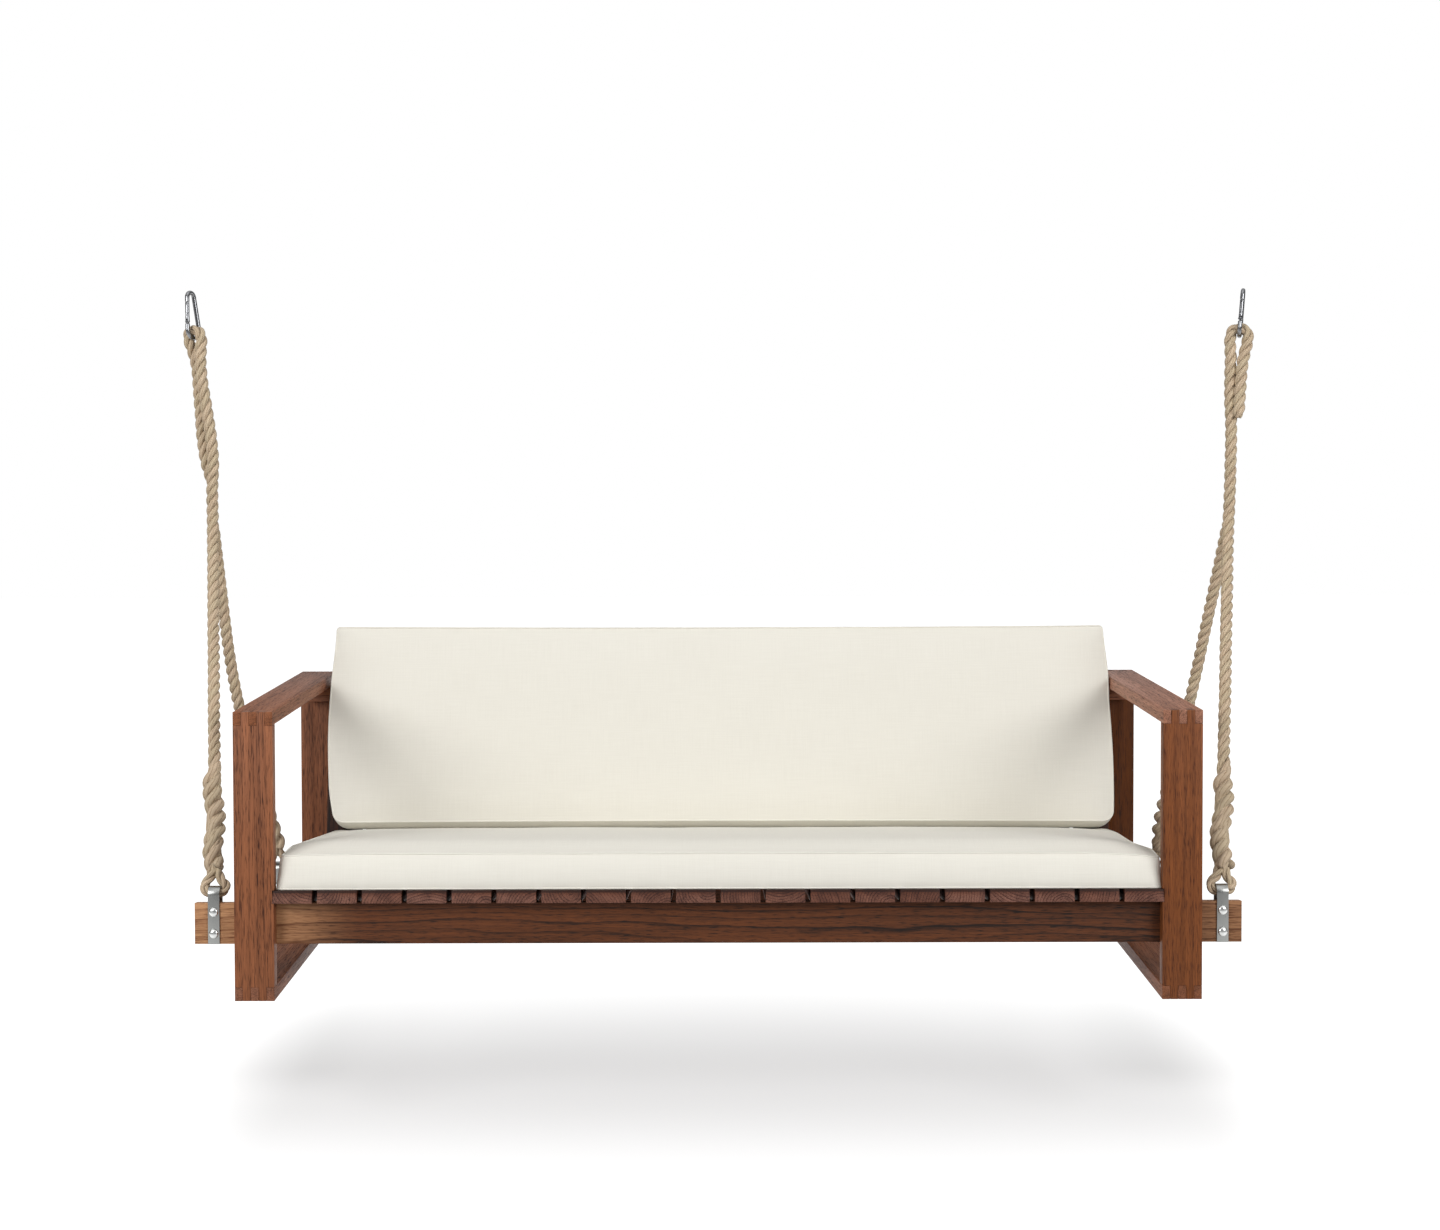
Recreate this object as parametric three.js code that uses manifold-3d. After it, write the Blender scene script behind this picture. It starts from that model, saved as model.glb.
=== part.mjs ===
// A hanging porch swing: a slatted wooden seat and leaning back between two finger-jointed
// side frames, two loose cushions, and a rope bridle on each side that runs up to a carabiner.
//
// Millimetres. X runs left to right, Y from the front to the back, Z up. The swing is drawn from
// the front faces of its posts (Y = 0) and the undersides of its bottom rails (Z = 0). The last
// group moves it all, so that the exported origin is midway between the two ceiling hooks.

import * as THREE from 'three';
import { mergeVertices } from 'three/addons/utils/BufferGeometryUtils.js';
import Module from 'manifold-3d';

const wasm = await Module();
wasm.setup();

// ---- side frames ----
const FRAME_WIDTH = 2000; // over the outer faces of both side frames
const FRAME_DEPTH = 800;
const FRAME_HEIGHT = 600;
const BOARD_WIDTH = 82;
const BOARD_THICK = 28;
const FINGER_COUNT = 5; // fingers across a board at each corner joint
const JOINT_GAP = 0.3; // glue line, and the seat of every piece that is cut, turned or rests
const ROUND_SIDES = 12; // of bolts, pins and other small round parts

// ---- beams under the seat, whose ends carry the ropes ----
const BEAM_OVERHANG = 88; // past the outer face of a side frame
const BEAM_THICK = 28;
const BEAM_HEIGHT = 86; // at the front face
const FRONT_BEAM_BOTTOM = 113;

// ---- seat slats ----
const SLAT_COUNT = 20;
const SLAT_WIDTH = 82;
const SLAT_THICK = 27;
const SLAT_HOUSING = 3.65; // how far the end slats are let into the front posts

// ---- back ----
const BACK_LEAN = THREE.MathUtils.degToRad(11);
const BACK_SLAT_THICK = 22;
const BACK_HEADROOM = 1.5; // between the slats' tops and the armrests' undersides
const TOP_RAIL_HEIGHT = 38;
const TOP_RAIL_INSET = 23; // from the outer face of a side frame
const TOP_RAIL_THICK = 28;
const BATTEN_HEIGHT = 42;
const BATTEN_THICK = 24;
const BATTEN_HOUSING = 2; // how far the batten is let into the slats

// ---- cushions ----
const CUSHION_SHIFT = 8; // both lie a little to the right
const SEAT_CUSHION_THICK = 88;
const SEAT_CUSHION_SETBACK = 17; // from the slats' front ends
const SEAT_CUSHION_SIDE_GAP = 10; // to each side frame, before the shift
const BACK_CUSHION_THICK = 98;
const BACK_CUSHION_HEIGHT = 470;
const BACK_CUSHION_SIDE_GAP = 8.5;
const CUSHION_CORNER = 20;
const CUSHION_EDGE = 12; // rounding between a cushion's faces and its boxing
const CUSHION_CLEARANCE = 2;

// ---- rope brackets and their bolts ----
const STRAP_INSET = 40; // from the beam's end to the strap's middle
const STRAP_WIDTH = 24;
const STRAP_THICK = 3;
const ARCH_RISE = 30; // clear height between the beam and the strap's arch
const BOLT_DROP = 19; // from the beam's top to the upper bolt
const BOLT_SPACING = 45;
const BOLT_SHANK_RADIUS = 4;
const BOLT_HEAD_RADIUS = 10;
const BOLT_HEAD_HEIGHT = 5.5;
const BOLT_HOLE_CLEARANCE = 0.3;
const NUT_RADIUS = 7.5; // across the corners
const NUT_HEIGHT = 6.5;

// ---- hooks and ropes ----
const HANG_HEIGHT = 1486.5; // from the rails' undersides to where the ceiling hooks bear
const HOOK_REACH = 188; // from the outer face of a side frame out to a hook
const BALANCE_Y = 475.5; // the swing's centre of mass lies this far back, under the hooks
const ROPE_RADIUS = 12;
const ROPE_SIDES = 10;
const ROPE_SEAT_GAP = 2.8; // between a rope and the arch it pulls on
const EYE_LENGTH = 58; // from under the arch to the splice
const SPLICE_LENGTH = 240;
const SPLICE_RADIUS = 20;
const SPLICE_BASE_RADIUS = 16;
const SPLICE_TIP_RADIUS = 12.6; // where the last tucked strands end
const FORK_BALL_RADIUS = 12.6; // the rounded rope end that the bridle turns on

// ---- carabiners: each leans into line with its rope, and can turn about its own length ----
const CARABINER_LEAN = THREE.MathUtils.degToRad(4.5);
const LEFT_CARABINER_TURN = THREE.MathUtils.degToRad(-25);
const RIGHT_CARABINER_TURN = THREE.MathUtils.degToRad(-15);
const WIRE_RADIUS = 5;
const WIRE_SIDES = 10;
const SMALL_BOW_RADIUS = 7; // inside, where the ceiling hook bears
const LARGE_BOW_RADIUS = 15; // inside, where the rope bears
const CARABINER_INSIDE = 93; // clear length from bow to bow
const GATE_RADIUS = 4.7;
const GATE_PIVOT_RISE = 16; // along the gate's side, from the end of the large bow
const NOSE_LENGTH = 10.5; // along the gate's side, from the end of the small bow
const TONGUE_THICK = 4;
const TONGUE_RADIUS = 4.6;
const GATE_SLOT_CLEARANCE = 0.4; // on each side of the tongue
const GATE_SLOT_DEPTH = 6.5; // above the pivot
const GATE_TIP_GAP = 0.4;
const GATE_PIN_RADIUS = 1.5;
const GATE_PIN_CLEARANCE = 0.15;

// The ropes' routes from the tail's cut end, over the carabiner's large bow and down to the fork,
// as points [x, y, z] from where the ceiling hook bears.
const LEFT_ROPE_ROUTE = [
  [24.2, 3, -376], [18.8, 3, -326], [17.6, 9.5, -258], [14.2, 11, -205], [12, 11.5, -172],
  [8, 11.5, -146], [-3, 10, -121], [-10.9, 8.7, -99.2], [-6.4, 6, -84.6], [6.3, 0, -80.1],
  [19.5, -6, -82.5], [25.9, -8.8, -96.2], [25.6, -10, -116], [24, -11, -146], [25, -11.5, -172],
  [28.4, -11, -205], [36.6, -7, -258], [45.8, -2, -326], [48.8, 0, -376], [45.3, 0, -440],
  [46.3, 0, -515],
];
const RIGHT_ROPE_ROUTE = [
  [-3, -3, -284], [-2.4, -4.5, -241], [-1.4, -5.5, -180], [2.8, -5.2, -146], [8, -4.6, -120],
  [10.9, -4.8, -99.2], [6.6, -3.8, -85], [-6.3, -0.3, -80.1], [-19.8, 3.2, -82.9],
  [-26.2, 4.8, -96.2], [-27.4, 4.8, -116], [-25.6, 5, -146], [-26.4, 5, -180],
  [-27.2, 3.5, -241], [-27.2, 1.5, -304], [-26.8, 0, -385], [-28.3, 0, -466], [-30.3, 0, -515],
];
// How far a bridle leg bows sideways at its middle point, left and right, and where that point is.
const FRONT_LEG_BOW = [0, 0];
const REAR_LEG_BOW = [-24, 0];
const LEG_MIDDLE = 0.55; // of the way from the eye to the fork

// ---- worked out from those ----
const HALF_WIDTH = FRAME_WIDTH / 2;
const POST_INNER_X = HALF_WIDTH - BOARD_WIDTH;
const REAR_POST_Y = FRAME_DEPTH - BOARD_THICK;
const ARM_UNDERSIDE = FRAME_HEIGHT - BOARD_THICK;
const BEAM_LENGTH = FRAME_WIDTH + 2 * BEAM_OVERHANG;
const FRONT_BEAM_Y = BOARD_THICK + JOINT_GAP;
const REAR_BEAM_Y = REAR_POST_Y - JOINT_GAP - BEAM_THICK;
const REAR_BEAM_BOTTOM = BOARD_THICK + JOINT_GAP;
const SEAT_SLOPE = Math.atan(
  (FRONT_BEAM_BOTTOM - REAR_BEAM_BOTTOM) / (REAR_BEAM_Y - FRONT_BEAM_Y));
const DECK_WIDTH = 2 * (POST_INNER_X + SLAT_HOUSING);
const SLAT_PITCH = (DECK_WIDTH - SLAT_WIDTH) / (SLAT_COUNT - 1);
const STRAP_X = BEAM_LENGTH / 2 - STRAP_INSET;
const HOOK_X = HALF_WIDTH + HOOK_REACH;
const BOLT_HOLE_RADIUS = BOLT_SHANK_RADIUS + BOLT_HOLE_CLEARANCE;

// ---- materials ----
const finish = (color, roughness, metalness = 0) =>
  new THREE.MeshStandardMaterial({ color, roughness, metalness });
const frameWood = finish(0x7b4a33, 0.55);
const beamWood = finish(0x6b442e, 0.55);
const slatWood = finish(0x7d5547, 0.6);
const canvas = finish(0xebe8de, 0.95);
const hemp = finish(0xc1ae95, 0.95);
const steel = finish(0x9c9c9c, 0.35, 1);
const brightSteel = finish(0xc4c6c8, 0.25, 1);

// ---- helpers ----
function solid(geometry) {
  const bare = geometry.clone();
  bare.deleteAttribute('normal');
  bare.deleteAttribute('uv');
  const merged = mergeVertices(bare, 1e-4);
  return new wasm.Manifold(new wasm.Mesh({
    numProp: 3,
    vertProperties: new Float32Array(merged.attributes.position.array),
    triVerts: new Uint32Array(merged.index.array),
  }));
}

function geometryOf(manifold) {
  const mesh = manifold.getMesh();
  const geometry = new THREE.BufferGeometry();
  geometry.setAttribute('position', new THREE.BufferAttribute(mesh.vertProperties, mesh.numProp));
  geometry.setIndex(new THREE.BufferAttribute(mesh.triVerts, 1));
  geometry.computeVertexNormals();
  return geometry;
}

function joined(...geometries) {
  return geometryOf(geometries.map(solid).reduce((sum, next) => sum.add(next)));
}

function cut(geometry, ...tools) {
  return geometryOf(tools.map(solid).reduce((rest, tool) => rest.subtract(tool), solid(geometry)));
}

function piece(name, geometry, material) {
  const mesh = new THREE.Mesh(geometry, material);
  mesh.name = name;
  return mesh;
}

// A box from its lowest corner.
function box(width, depth, height, x = 0, y = 0, z = 0) {
  return new THREE.BoxGeometry(width, depth, height)
    .translate(x + width / 2, y + depth / 2, z + height / 2);
}

// An outline of [y, z] points extruded along X, centred on X = 0.
function profileAlongX(points, length) {
  const shape = new THREE.Shape(points.map(([y, z]) => new THREE.Vector2(y, z)));
  return new THREE.ExtrudeGeometry(shape, { depth: length, bevelEnabled: false })
    .rotateX(Math.PI / 2).rotateZ(Math.PI / 2).translate(-length / 2, 0, 0);
}

// A cylinder along Y, from its front end.
function rodAlongY(radius, length, y) {
  return new THREE.CylinderGeometry(radius, radius, length, ROUND_SIDES).translate(0, y + length / 2, 0);
}

// A round bar along a smooth curve through the points, which lie closer together where it bends:
// each span between two points gets the same number of steps.
function barAlong(points, radius, sides, spanSteps) {
  const section = new THREE.Shape();
  for (let i = 0; i < sides; i++) {
    const angle = (2 * Math.PI * i) / sides;
    const corner = [radius * Math.cos(angle), radius * Math.sin(angle)];
    if (i === 0) section.moveTo(...corner);
    else section.lineTo(...corner);
  }
  const extrudePath = new THREE.CatmullRomCurve3(points);
  extrudePath.getUtoTmapping = (u) => u;
  const steps = spanSteps * (points.length - 1);
  return new THREE.ExtrudeGeometry(section, { steps, bevelEnabled: false, extrudePath });
}

const vectors = (list) => list.map((point) => new THREE.Vector3(...point));
const sideName = (side) => (side < 0 ? 'left' : 'right');

// ---- side frames ----

// A board's outline with finger joints at both ends: width across x, length along y. The fingers
// in the list reach the board's full length, and the rest stop at the other board's inner face.
function fingeredOutline(length, fingers) {
  const pitch = BOARD_WIDTH / FINGER_COUNT;
  const reach = (i) => (fingers.includes(i) ? 0 : BOARD_THICK + JOINT_GAP);
  const end = [];
  for (let i = 0; i < FINGER_COUNT; i++) {
    const inset = fingers.includes(i) ? JOINT_GAP / 2 : -JOINT_GAP / 2;
    const from = i === 0 ? 0 : i * pitch + inset;
    const to = i === FINGER_COUNT - 1 ? BOARD_WIDTH : (i + 1) * pitch - inset;
    end.push([from, reach(i)], [to, reach(i)]);
  }
  const far = end.map(([x, y]) => [x, length - y]).reverse();
  return new THREE.Shape([...end, ...far].map(([x, y]) => new THREE.Vector2(x, y)));
}

const outerFingers = Array.from({ length: FINGER_COUNT }, (_, i) => i).filter((i) => i % 2 === 0);
const innerFingers = Array.from({ length: FINGER_COUNT }, (_, i) => i).filter((i) => i % 2 === 1);

function railGeometry() {
  return new THREE.ExtrudeGeometry(fingeredOutline(FRAME_DEPTH, outerFingers),
    { depth: BOARD_THICK, bevelEnabled: false });
}

function postGeometry() {
  return new THREE.ExtrudeGeometry(fingeredOutline(FRAME_HEIGHT, innerFingers),
    { depth: BOARD_THICK, bevelEnabled: false })
    .rotateX(Math.PI / 2).translate(0, BOARD_THICK, 0);
}

// ---- seat deck: its own group, hinged down to the seat's slope at the front beam's top edge ----
function deckGroup() {
  const group = new THREE.Group();
  group.position.set(0, FRONT_BEAM_Y, FRONT_BEAM_BOTTOM + BEAM_HEIGHT + JOINT_GAP);
  group.rotation.x = -SEAT_SLOPE;
  group.updateMatrixWorld(true);
  return group;
}

const deck = deckGroup();
const DECK_FRONT = -FRONT_BEAM_Y / Math.cos(SEAT_SLOPE);
const DECK_REAR = (REAR_POST_Y - JOINT_GAP - FRONT_BEAM_Y - SLAT_THICK * Math.sin(SEAT_SLOPE))
  / Math.cos(SEAT_SLOPE);
const DECK_TOP = SLAT_THICK;
const slatX = (i) => -DECK_WIDTH / 2 + i * SLAT_PITCH;

function seatSlats() {
  for (let i = 0; i < SLAT_COUNT; i++) {
    const name = `seat_slat_${String(i + 1).padStart(2, '0')}`;
    const slat = box(SLAT_WIDTH, DECK_REAR - DECK_FRONT, SLAT_THICK, slatX(i), DECK_FRONT, 0);
    deck.add(piece(name, slat, slatWood));
  }
}

// The housing that an end slat needs in a front post, in the swing's own frame.
function slatHousing() {
  const tall = SLAT_THICK + 2 * JOINT_GAP;
  return box(DECK_WIDTH + 2 * JOINT_GAP, 4 * BOARD_THICK, tall,
    -DECK_WIDTH / 2 - JOINT_GAP, DECK_FRONT - BOARD_THICK, -JOINT_GAP).applyMatrix4(deck.matrix);
}

function sideFrame(side) {
  const group = new THREE.Group();
  const name = sideName(side);
  const x = side < 0 ? -HALF_WIDTH : POST_INNER_X;
  const frontPost = cut(postGeometry().translate(x, 0, 0), slatHousing());
  const rearPost = postGeometry().translate(x, REAR_POST_Y, 0);
  const armrest = railGeometry().translate(x, 0, ARM_UNDERSIDE);
  const bottomRail = railGeometry().translate(x, 0, 0);
  group.add(piece(`front_post_${name}`, frontPost, frameWood));
  group.add(piece(`rear_post_${name}`, rearPost, frameWood));
  group.add(piece(`armrest_${name}`, armrest, frameWood));
  group.add(piece(`bottom_rail_${name}`, bottomRail, frameWood));
  return group;
}

// ---- beams, straps and bolts ----

// The beam's top is planed to the seat's slope. It is drilled for the strap bolts at both ends.
function beam(name, y, bottom) {
  const fall = BEAM_THICK * Math.tan(SEAT_SLOPE);
  const profile = [[0, 0], [BEAM_THICK, 0], [BEAM_THICK, BEAM_HEIGHT - fall], [0, BEAM_HEIGHT]];
  const holes = [];
  for (const side of [-1, 1]) {
    for (const z of boltHeights()) {
      holes.push(rodAlongY(BOLT_HOLE_RADIUS, 2 * BEAM_THICK, -BEAM_THICK / 2)
        .translate(side * STRAP_X, 0, z));
    }
  }
  const blank = profileAlongX(profile, BEAM_LENGTH);
  return piece(name, cut(blank, ...holes).translate(0, y, bottom), beamWood);
}

// Heights of a strap's two bolts above the beam's underside.
function boltHeights() {
  const upper = BEAM_HEIGHT - BOLT_DROP;
  return [upper, upper - BOLT_SPACING];
}

// A strap bent over the beam, seen from its side: two legs and a half-round arch between them.
function strapGeometry() {
  const inner = BEAM_THICK / 2 + JOINT_GAP;
  const outer = inner + STRAP_THICK;
  const archZ = BEAM_HEIGHT + ARCH_RISE - inner;
  const shape = new THREE.Shape();
  shape.moveTo(-outer, 0);
  shape.lineTo(-inner, 0);
  shape.lineTo(-inner, archZ);
  shape.absarc(0, archZ, inner, Math.PI, 0, true);
  shape.lineTo(inner, 0);
  shape.lineTo(outer, 0);
  shape.lineTo(outer, archZ);
  shape.absarc(0, archZ, outer, 0, Math.PI, false);
  shape.closePath();
  const bent = new THREE.ExtrudeGeometry(shape,
    { depth: STRAP_WIDTH, bevelEnabled: false, curveSegments: 9 })
    .rotateX(Math.PI / 2).rotateZ(Math.PI / 2).translate(-STRAP_WIDTH / 2, 0, 0);
  const holes = boltHeights().map((z) =>
    rodAlongY(BOLT_HOLE_RADIUS, 4 * outer, -2 * outer).translate(0, 0, z));
  return cut(bent, ...holes);
}

// A round-headed bolt along Y with its nut, centred on the middle of the beam.
function boltGeometry() {
  const face = BEAM_THICK / 2 + JOINT_GAP + STRAP_THICK + JOINT_GAP;
  const dome = [];
  const domeSteps = 3;
  for (let i = 0; i <= domeSteps; i++) {
    const angle = (Math.PI / 2) * (i / domeSteps);
    dome.push(new THREE.Vector2(BOLT_HEAD_RADIUS * Math.sin(angle),
      face + BOLT_HEAD_HEIGHT * Math.cos(angle)));
  }
  const shankEnd = -face - NUT_HEIGHT - BOLT_SHANK_RADIUS / 2;
  const profile = [...dome, new THREE.Vector2(BOLT_SHANK_RADIUS, face),
    new THREE.Vector2(BOLT_SHANK_RADIUS, shankEnd), new THREE.Vector2(0, shankEnd)].reverse();
  const headAndShank = new THREE.LatheGeometry(profile, ROUND_SIDES).rotateZ(Math.PI);
  const nut = new THREE.CylinderGeometry(NUT_RADIUS, NUT_RADIUS, NUT_HEIGHT, 6)
    .translate(0, face + NUT_HEIGHT / 2, 0);
  return joined(headAndShank, nut);
}

function strapAndBolts(beamName, beamY, beamBottom, side) {
  const group = new THREE.Group();
  const name = `${beamName}_${sideName(side)}`;
  group.position.set(side * STRAP_X, beamY + BEAM_THICK / 2, beamBottom);
  group.add(piece(`rope_strap_${name}`, strapGeometry(), steel));
  for (const [i, z] of boltHeights().entries()) {
    const bolt = piece(`strap_bolt_${name}_${i === 0 ? 'upper' : 'lower'}`, boltGeometry(), steel);
    bolt.position.z = z;
    group.add(bolt);
  }
  return group;
}

// ---- back: a panel of slats on a batten, leaning on a rail that crosses between the posts ----

// Where the panel's rear face meets the deck, found from the rail that its top leans on.
const RAIL_BOTTOM = ARM_UNDERSIDE - JOINT_GAP - TOP_RAIL_HEIGHT;
const RAIL_FRONT_Y = REAR_POST_Y - JOINT_GAP - TOP_RAIL_THICK;

function topRail() {
  const plane = TOP_RAIL_HEIGHT * Math.tan(BACK_LEAN);
  const profile = [[0, 0], [TOP_RAIL_THICK, 0], [TOP_RAIL_THICK, TOP_RAIL_HEIGHT],
    [plane, TOP_RAIL_HEIGHT]];
  const rail = profileAlongX(profile, FRAME_WIDTH - 2 * TOP_RAIL_INSET);
  return piece('back_top_rail', rail.translate(0, RAIL_FRONT_Y, RAIL_BOTTOM), frameWood);
}

// The panel's own frame: Y and Z along the lean, the origin on its front face at the deck.
const PANEL_LEAN = BACK_LEAN - SEAT_SLOPE; // from square to the deck
function panelFoot() {
  const rearFaceY = RAIL_FRONT_Y - JOINT_GAP / Math.cos(BACK_LEAN);
  const frontFaceY = rearFaceY - BACK_SLAT_THICK / Math.cos(BACK_LEAN);
  const onFace = new THREE.Vector3(0, frontFaceY, RAIL_BOTTOM);
  deck.worldToLocal(onFace);
  const drop = onFace.z - DECK_TOP - JOINT_GAP;
  return onFace.y - drop * Math.tan(PANEL_LEAN);
}

const back = new THREE.Group();
back.position.set(0, panelFoot(), DECK_TOP + JOINT_GAP);
back.rotation.x = -PANEL_LEAN;
deck.add(back);
deck.updateMatrixWorld(true);

// A slat's side view. Its foot is cut to stand flat on the deck.
function backPanel() {
  const foot = back.localToWorld(new THREE.Vector3());
  const top = (ARM_UNDERSIDE - BACK_HEADROOM - foot.z) / Math.cos(BACK_LEAN);
  const footAt = (y) => y * Math.tan(PANEL_LEAN);
  const slatProfile = [[0, 0], [BACK_SLAT_THICK, footAt(BACK_SLAT_THICK)],
    [BACK_SLAT_THICK, top], [0, top]];
  const slats = [];
  for (let i = 0; i < SLAT_COUNT; i++) {
    slats.push(profileAlongX(slatProfile, SLAT_WIDTH).translate(slatX(i) + SLAT_WIDTH / 2, 0, 0));
  }
  const near = BACK_SLAT_THICK - BATTEN_HOUSING;
  const far = BACK_SLAT_THICK + BATTEN_THICK;
  const battenTop = BATTEN_HEIGHT + footAt(far);
  const battenProfile = [[near, footAt(near)], [far, footAt(far)], [far, battenTop],
    [near, battenTop]];
  return piece('back_slat_panel', joined(profileAlongX(battenProfile, DECK_WIDTH), ...slats),
    slatWood);
}

// ---- cushions: plain closed forms with round corners and soft edges ----

// Width across X and length along Y, from z = 0 up.
function cushionGeometry(width, length, thick) {
  const w = width / 2 - CUSHION_EDGE;
  const l = length / 2 - CUSHION_EDGE;
  const r = CUSHION_CORNER - CUSHION_EDGE;
  const shape = new THREE.Shape();
  shape.moveTo(-w + r, -l);
  shape.lineTo(w - r, -l);
  shape.absarc(w - r, -l + r, r, -Math.PI / 2, 0, false);
  shape.lineTo(w, l - r);
  shape.absarc(w - r, l - r, r, 0, Math.PI / 2, false);
  shape.lineTo(-w + r, l);
  shape.absarc(-w + r, l - r, r, Math.PI / 2, Math.PI, false);
  shape.lineTo(-w, -l + r);
  shape.absarc(-w + r, -l + r, r, Math.PI, 1.5 * Math.PI, false);
  return new THREE.ExtrudeGeometry(shape, {
    depth: thick - 2 * CUSHION_EDGE, curveSegments: 4,
    bevelSize: CUSHION_EDGE, bevelThickness: CUSHION_EDGE, bevelSegments: 3,
  }).translate(0, 0, CUSHION_EDGE);
}

function seatCushion() {
  const front = DECK_FRONT + SEAT_CUSHION_SETBACK;
  const length = back.position.y - CUSHION_CLEARANCE - front;
  const width = 2 * (POST_INNER_X - SEAT_CUSHION_SIDE_GAP);
  const cushion = piece('seat_cushion', cushionGeometry(width, length, SEAT_CUSHION_THICK), canvas);
  cushion.position.set(CUSHION_SHIFT, front + length / 2, DECK_TOP + JOINT_GAP);
  return cushion;
}

function backCushion() {
  const width = 2 * (POST_INNER_X - BACK_CUSHION_SIDE_GAP);
  const geometry = cushionGeometry(width, BACK_CUSHION_HEIGHT, BACK_CUSHION_THICK)
    .rotateX(Math.PI / 2);
  const cushion = piece('back_cushion', geometry, canvas);
  const lift = (SEAT_CUSHION_THICK + JOINT_GAP) / Math.cos(PANEL_LEAN);
  cushion.position.set(CUSHION_SHIFT, -JOINT_GAP, lift + BACK_CUSHION_HEIGHT / 2);
  return cushion;
}

// ---- carabiners: local X is square to the bows' plane, Y runs from the gate to the spine ----
const SMALL_BOW = { y: 0, z: -SMALL_BOW_RADIUS, radius: SMALL_BOW_RADIUS + WIRE_RADIUS };
const LARGE_BOW = {
  y: 0, z: LARGE_BOW_RADIUS - CARABINER_INSIDE, radius: LARGE_BOW_RADIUS + WIRE_RADIUS,
};
const SIDE_TILT = Math.asin((LARGE_BOW.radius - SMALL_BOW.radius) / (SMALL_BOW.z - LARGE_BOW.z));

function onBow(bow, angle) {
  return new THREE.Vector3(0, bow.y + bow.radius * Math.cos(angle),
    bow.z + bow.radius * Math.sin(angle));
}

const gateSideFoot = onBow(LARGE_BOW, Math.PI - SIDE_TILT);
const gateSideTop = onBow(SMALL_BOW, Math.PI - SIDE_TILT);
const gateDirection = gateSideTop.clone().sub(gateSideFoot).normalize();
const gatePivot = gateSideFoot.clone().addScaledVector(gateDirection, GATE_PIVOT_RISE);
const noseEnd = gateSideTop.clone().addScaledVector(gateDirection, -NOSE_LENGTH);
const gateTilt = Math.atan2(gateDirection.y, gateDirection.z);

// Turns a shape made upright about the origin onto the gate's line through the pivot.
function ontoGate(geometry) {
  return geometry.rotateX(-gateTilt).translate(0, gatePivot.y, gatePivot.z);
}

function carabinerBody(name) {
  const shoulder = GATE_RADIUS + 2 * GATE_SLOT_CLEARANCE;
  const points = [noseEnd];
  const turns = 10;
  for (let i = 0; i <= turns; i++) {
    const sweep = Math.PI - 2 * SIDE_TILT;
    points.push(onBow(SMALL_BOW, Math.PI - SIDE_TILT - sweep * (i / turns)));
  }
  for (let i = 0; i <= turns; i++) {
    const sweep = Math.PI + 2 * SIDE_TILT;
    points.push(onBow(LARGE_BOW, SIDE_TILT - sweep * (i / turns)));
  }
  points.push(gatePivot.clone().addScaledVector(gateDirection, -shoulder));
  const wire = barAlong(points, WIRE_RADIUS, WIRE_SIDES, 1);
  const tongue = joined(
    box(TONGUE_THICK, 2 * TONGUE_RADIUS, shoulder + WIRE_RADIUS,
      -TONGUE_THICK / 2, -TONGUE_RADIUS, -shoulder - WIRE_RADIUS),
    new THREE.CylinderGeometry(TONGUE_RADIUS, TONGUE_RADIUS, TONGUE_THICK, 16)
      .rotateZ(Math.PI / 2));
  const hole = new THREE.CylinderGeometry(GATE_PIN_RADIUS + GATE_PIN_CLEARANCE,
    GATE_PIN_RADIUS + GATE_PIN_CLEARANCE, 2 * TONGUE_THICK, ROUND_SIDES).rotateZ(Math.PI / 2);
  return piece(name, cut(joined(wire, ontoGate(tongue)), ontoGate(hole)), brightSteel);
}

function carabinerGate(name) {
  const length = noseEnd.distanceTo(gatePivot) - GATE_TIP_GAP;
  const slot = TONGUE_THICK + 2 * GATE_SLOT_CLEARANCE;
  const bar = joined(
    new THREE.CylinderGeometry(GATE_RADIUS, GATE_RADIUS, length, ROUND_SIDES)
      .rotateX(Math.PI / 2).translate(0, 0, length / 2),
    new THREE.SphereGeometry(GATE_RADIUS, ROUND_SIDES, 8).rotateX(Math.PI / 2));
  const slotTool = box(slot, 4 * GATE_RADIUS, 4 * GATE_RADIUS + GATE_SLOT_DEPTH,
    -slot / 2, -2 * GATE_RADIUS, -4 * GATE_RADIUS);
  const hole = new THREE.CylinderGeometry(GATE_PIN_RADIUS + GATE_PIN_CLEARANCE,
    GATE_PIN_RADIUS + GATE_PIN_CLEARANCE, 4 * GATE_RADIUS, ROUND_SIDES).rotateZ(Math.PI / 2);
  return piece(name, ontoGate(cut(bar, slotTool, hole)), brightSteel);
}

function gatePin(name) {
  const pin = new THREE.CylinderGeometry(GATE_PIN_RADIUS, GATE_PIN_RADIUS, 2 * GATE_RADIUS,
    ROUND_SIDES).rotateZ(Math.PI / 2);
  return piece(name, ontoGate(pin), steel);
}

function carabiner(side, turn) {
  const group = new THREE.Group();
  const name = sideName(side);
  group.position.set(side * HOOK_X, BALANCE_Y, HANG_HEIGHT);
  group.rotation.set(0, side * CARABINER_LEAN, turn, 'YZX');
  group.add(carabinerBody(`carabiner_${name}`));
  group.add(carabinerGate(`carabiner_gate_${name}`));
  group.add(gatePin(`carabiner_pin_${name}`));
  return group;
}

// ---- ropes ----

function forkPoint(side) {
  const route = side < 0 ? LEFT_ROPE_ROUTE : RIGHT_ROPE_ROUTE;
  return new THREE.Vector3(...route.at(-1))
    .add(new THREE.Vector3(side * HOOK_X, BALANCE_Y, HANG_HEIGHT));
}

function ball(radius, centre) {
  return new THREE.SphereGeometry(radius, 14, 8).translate(centre.x, centre.y, centre.z);
}

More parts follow.
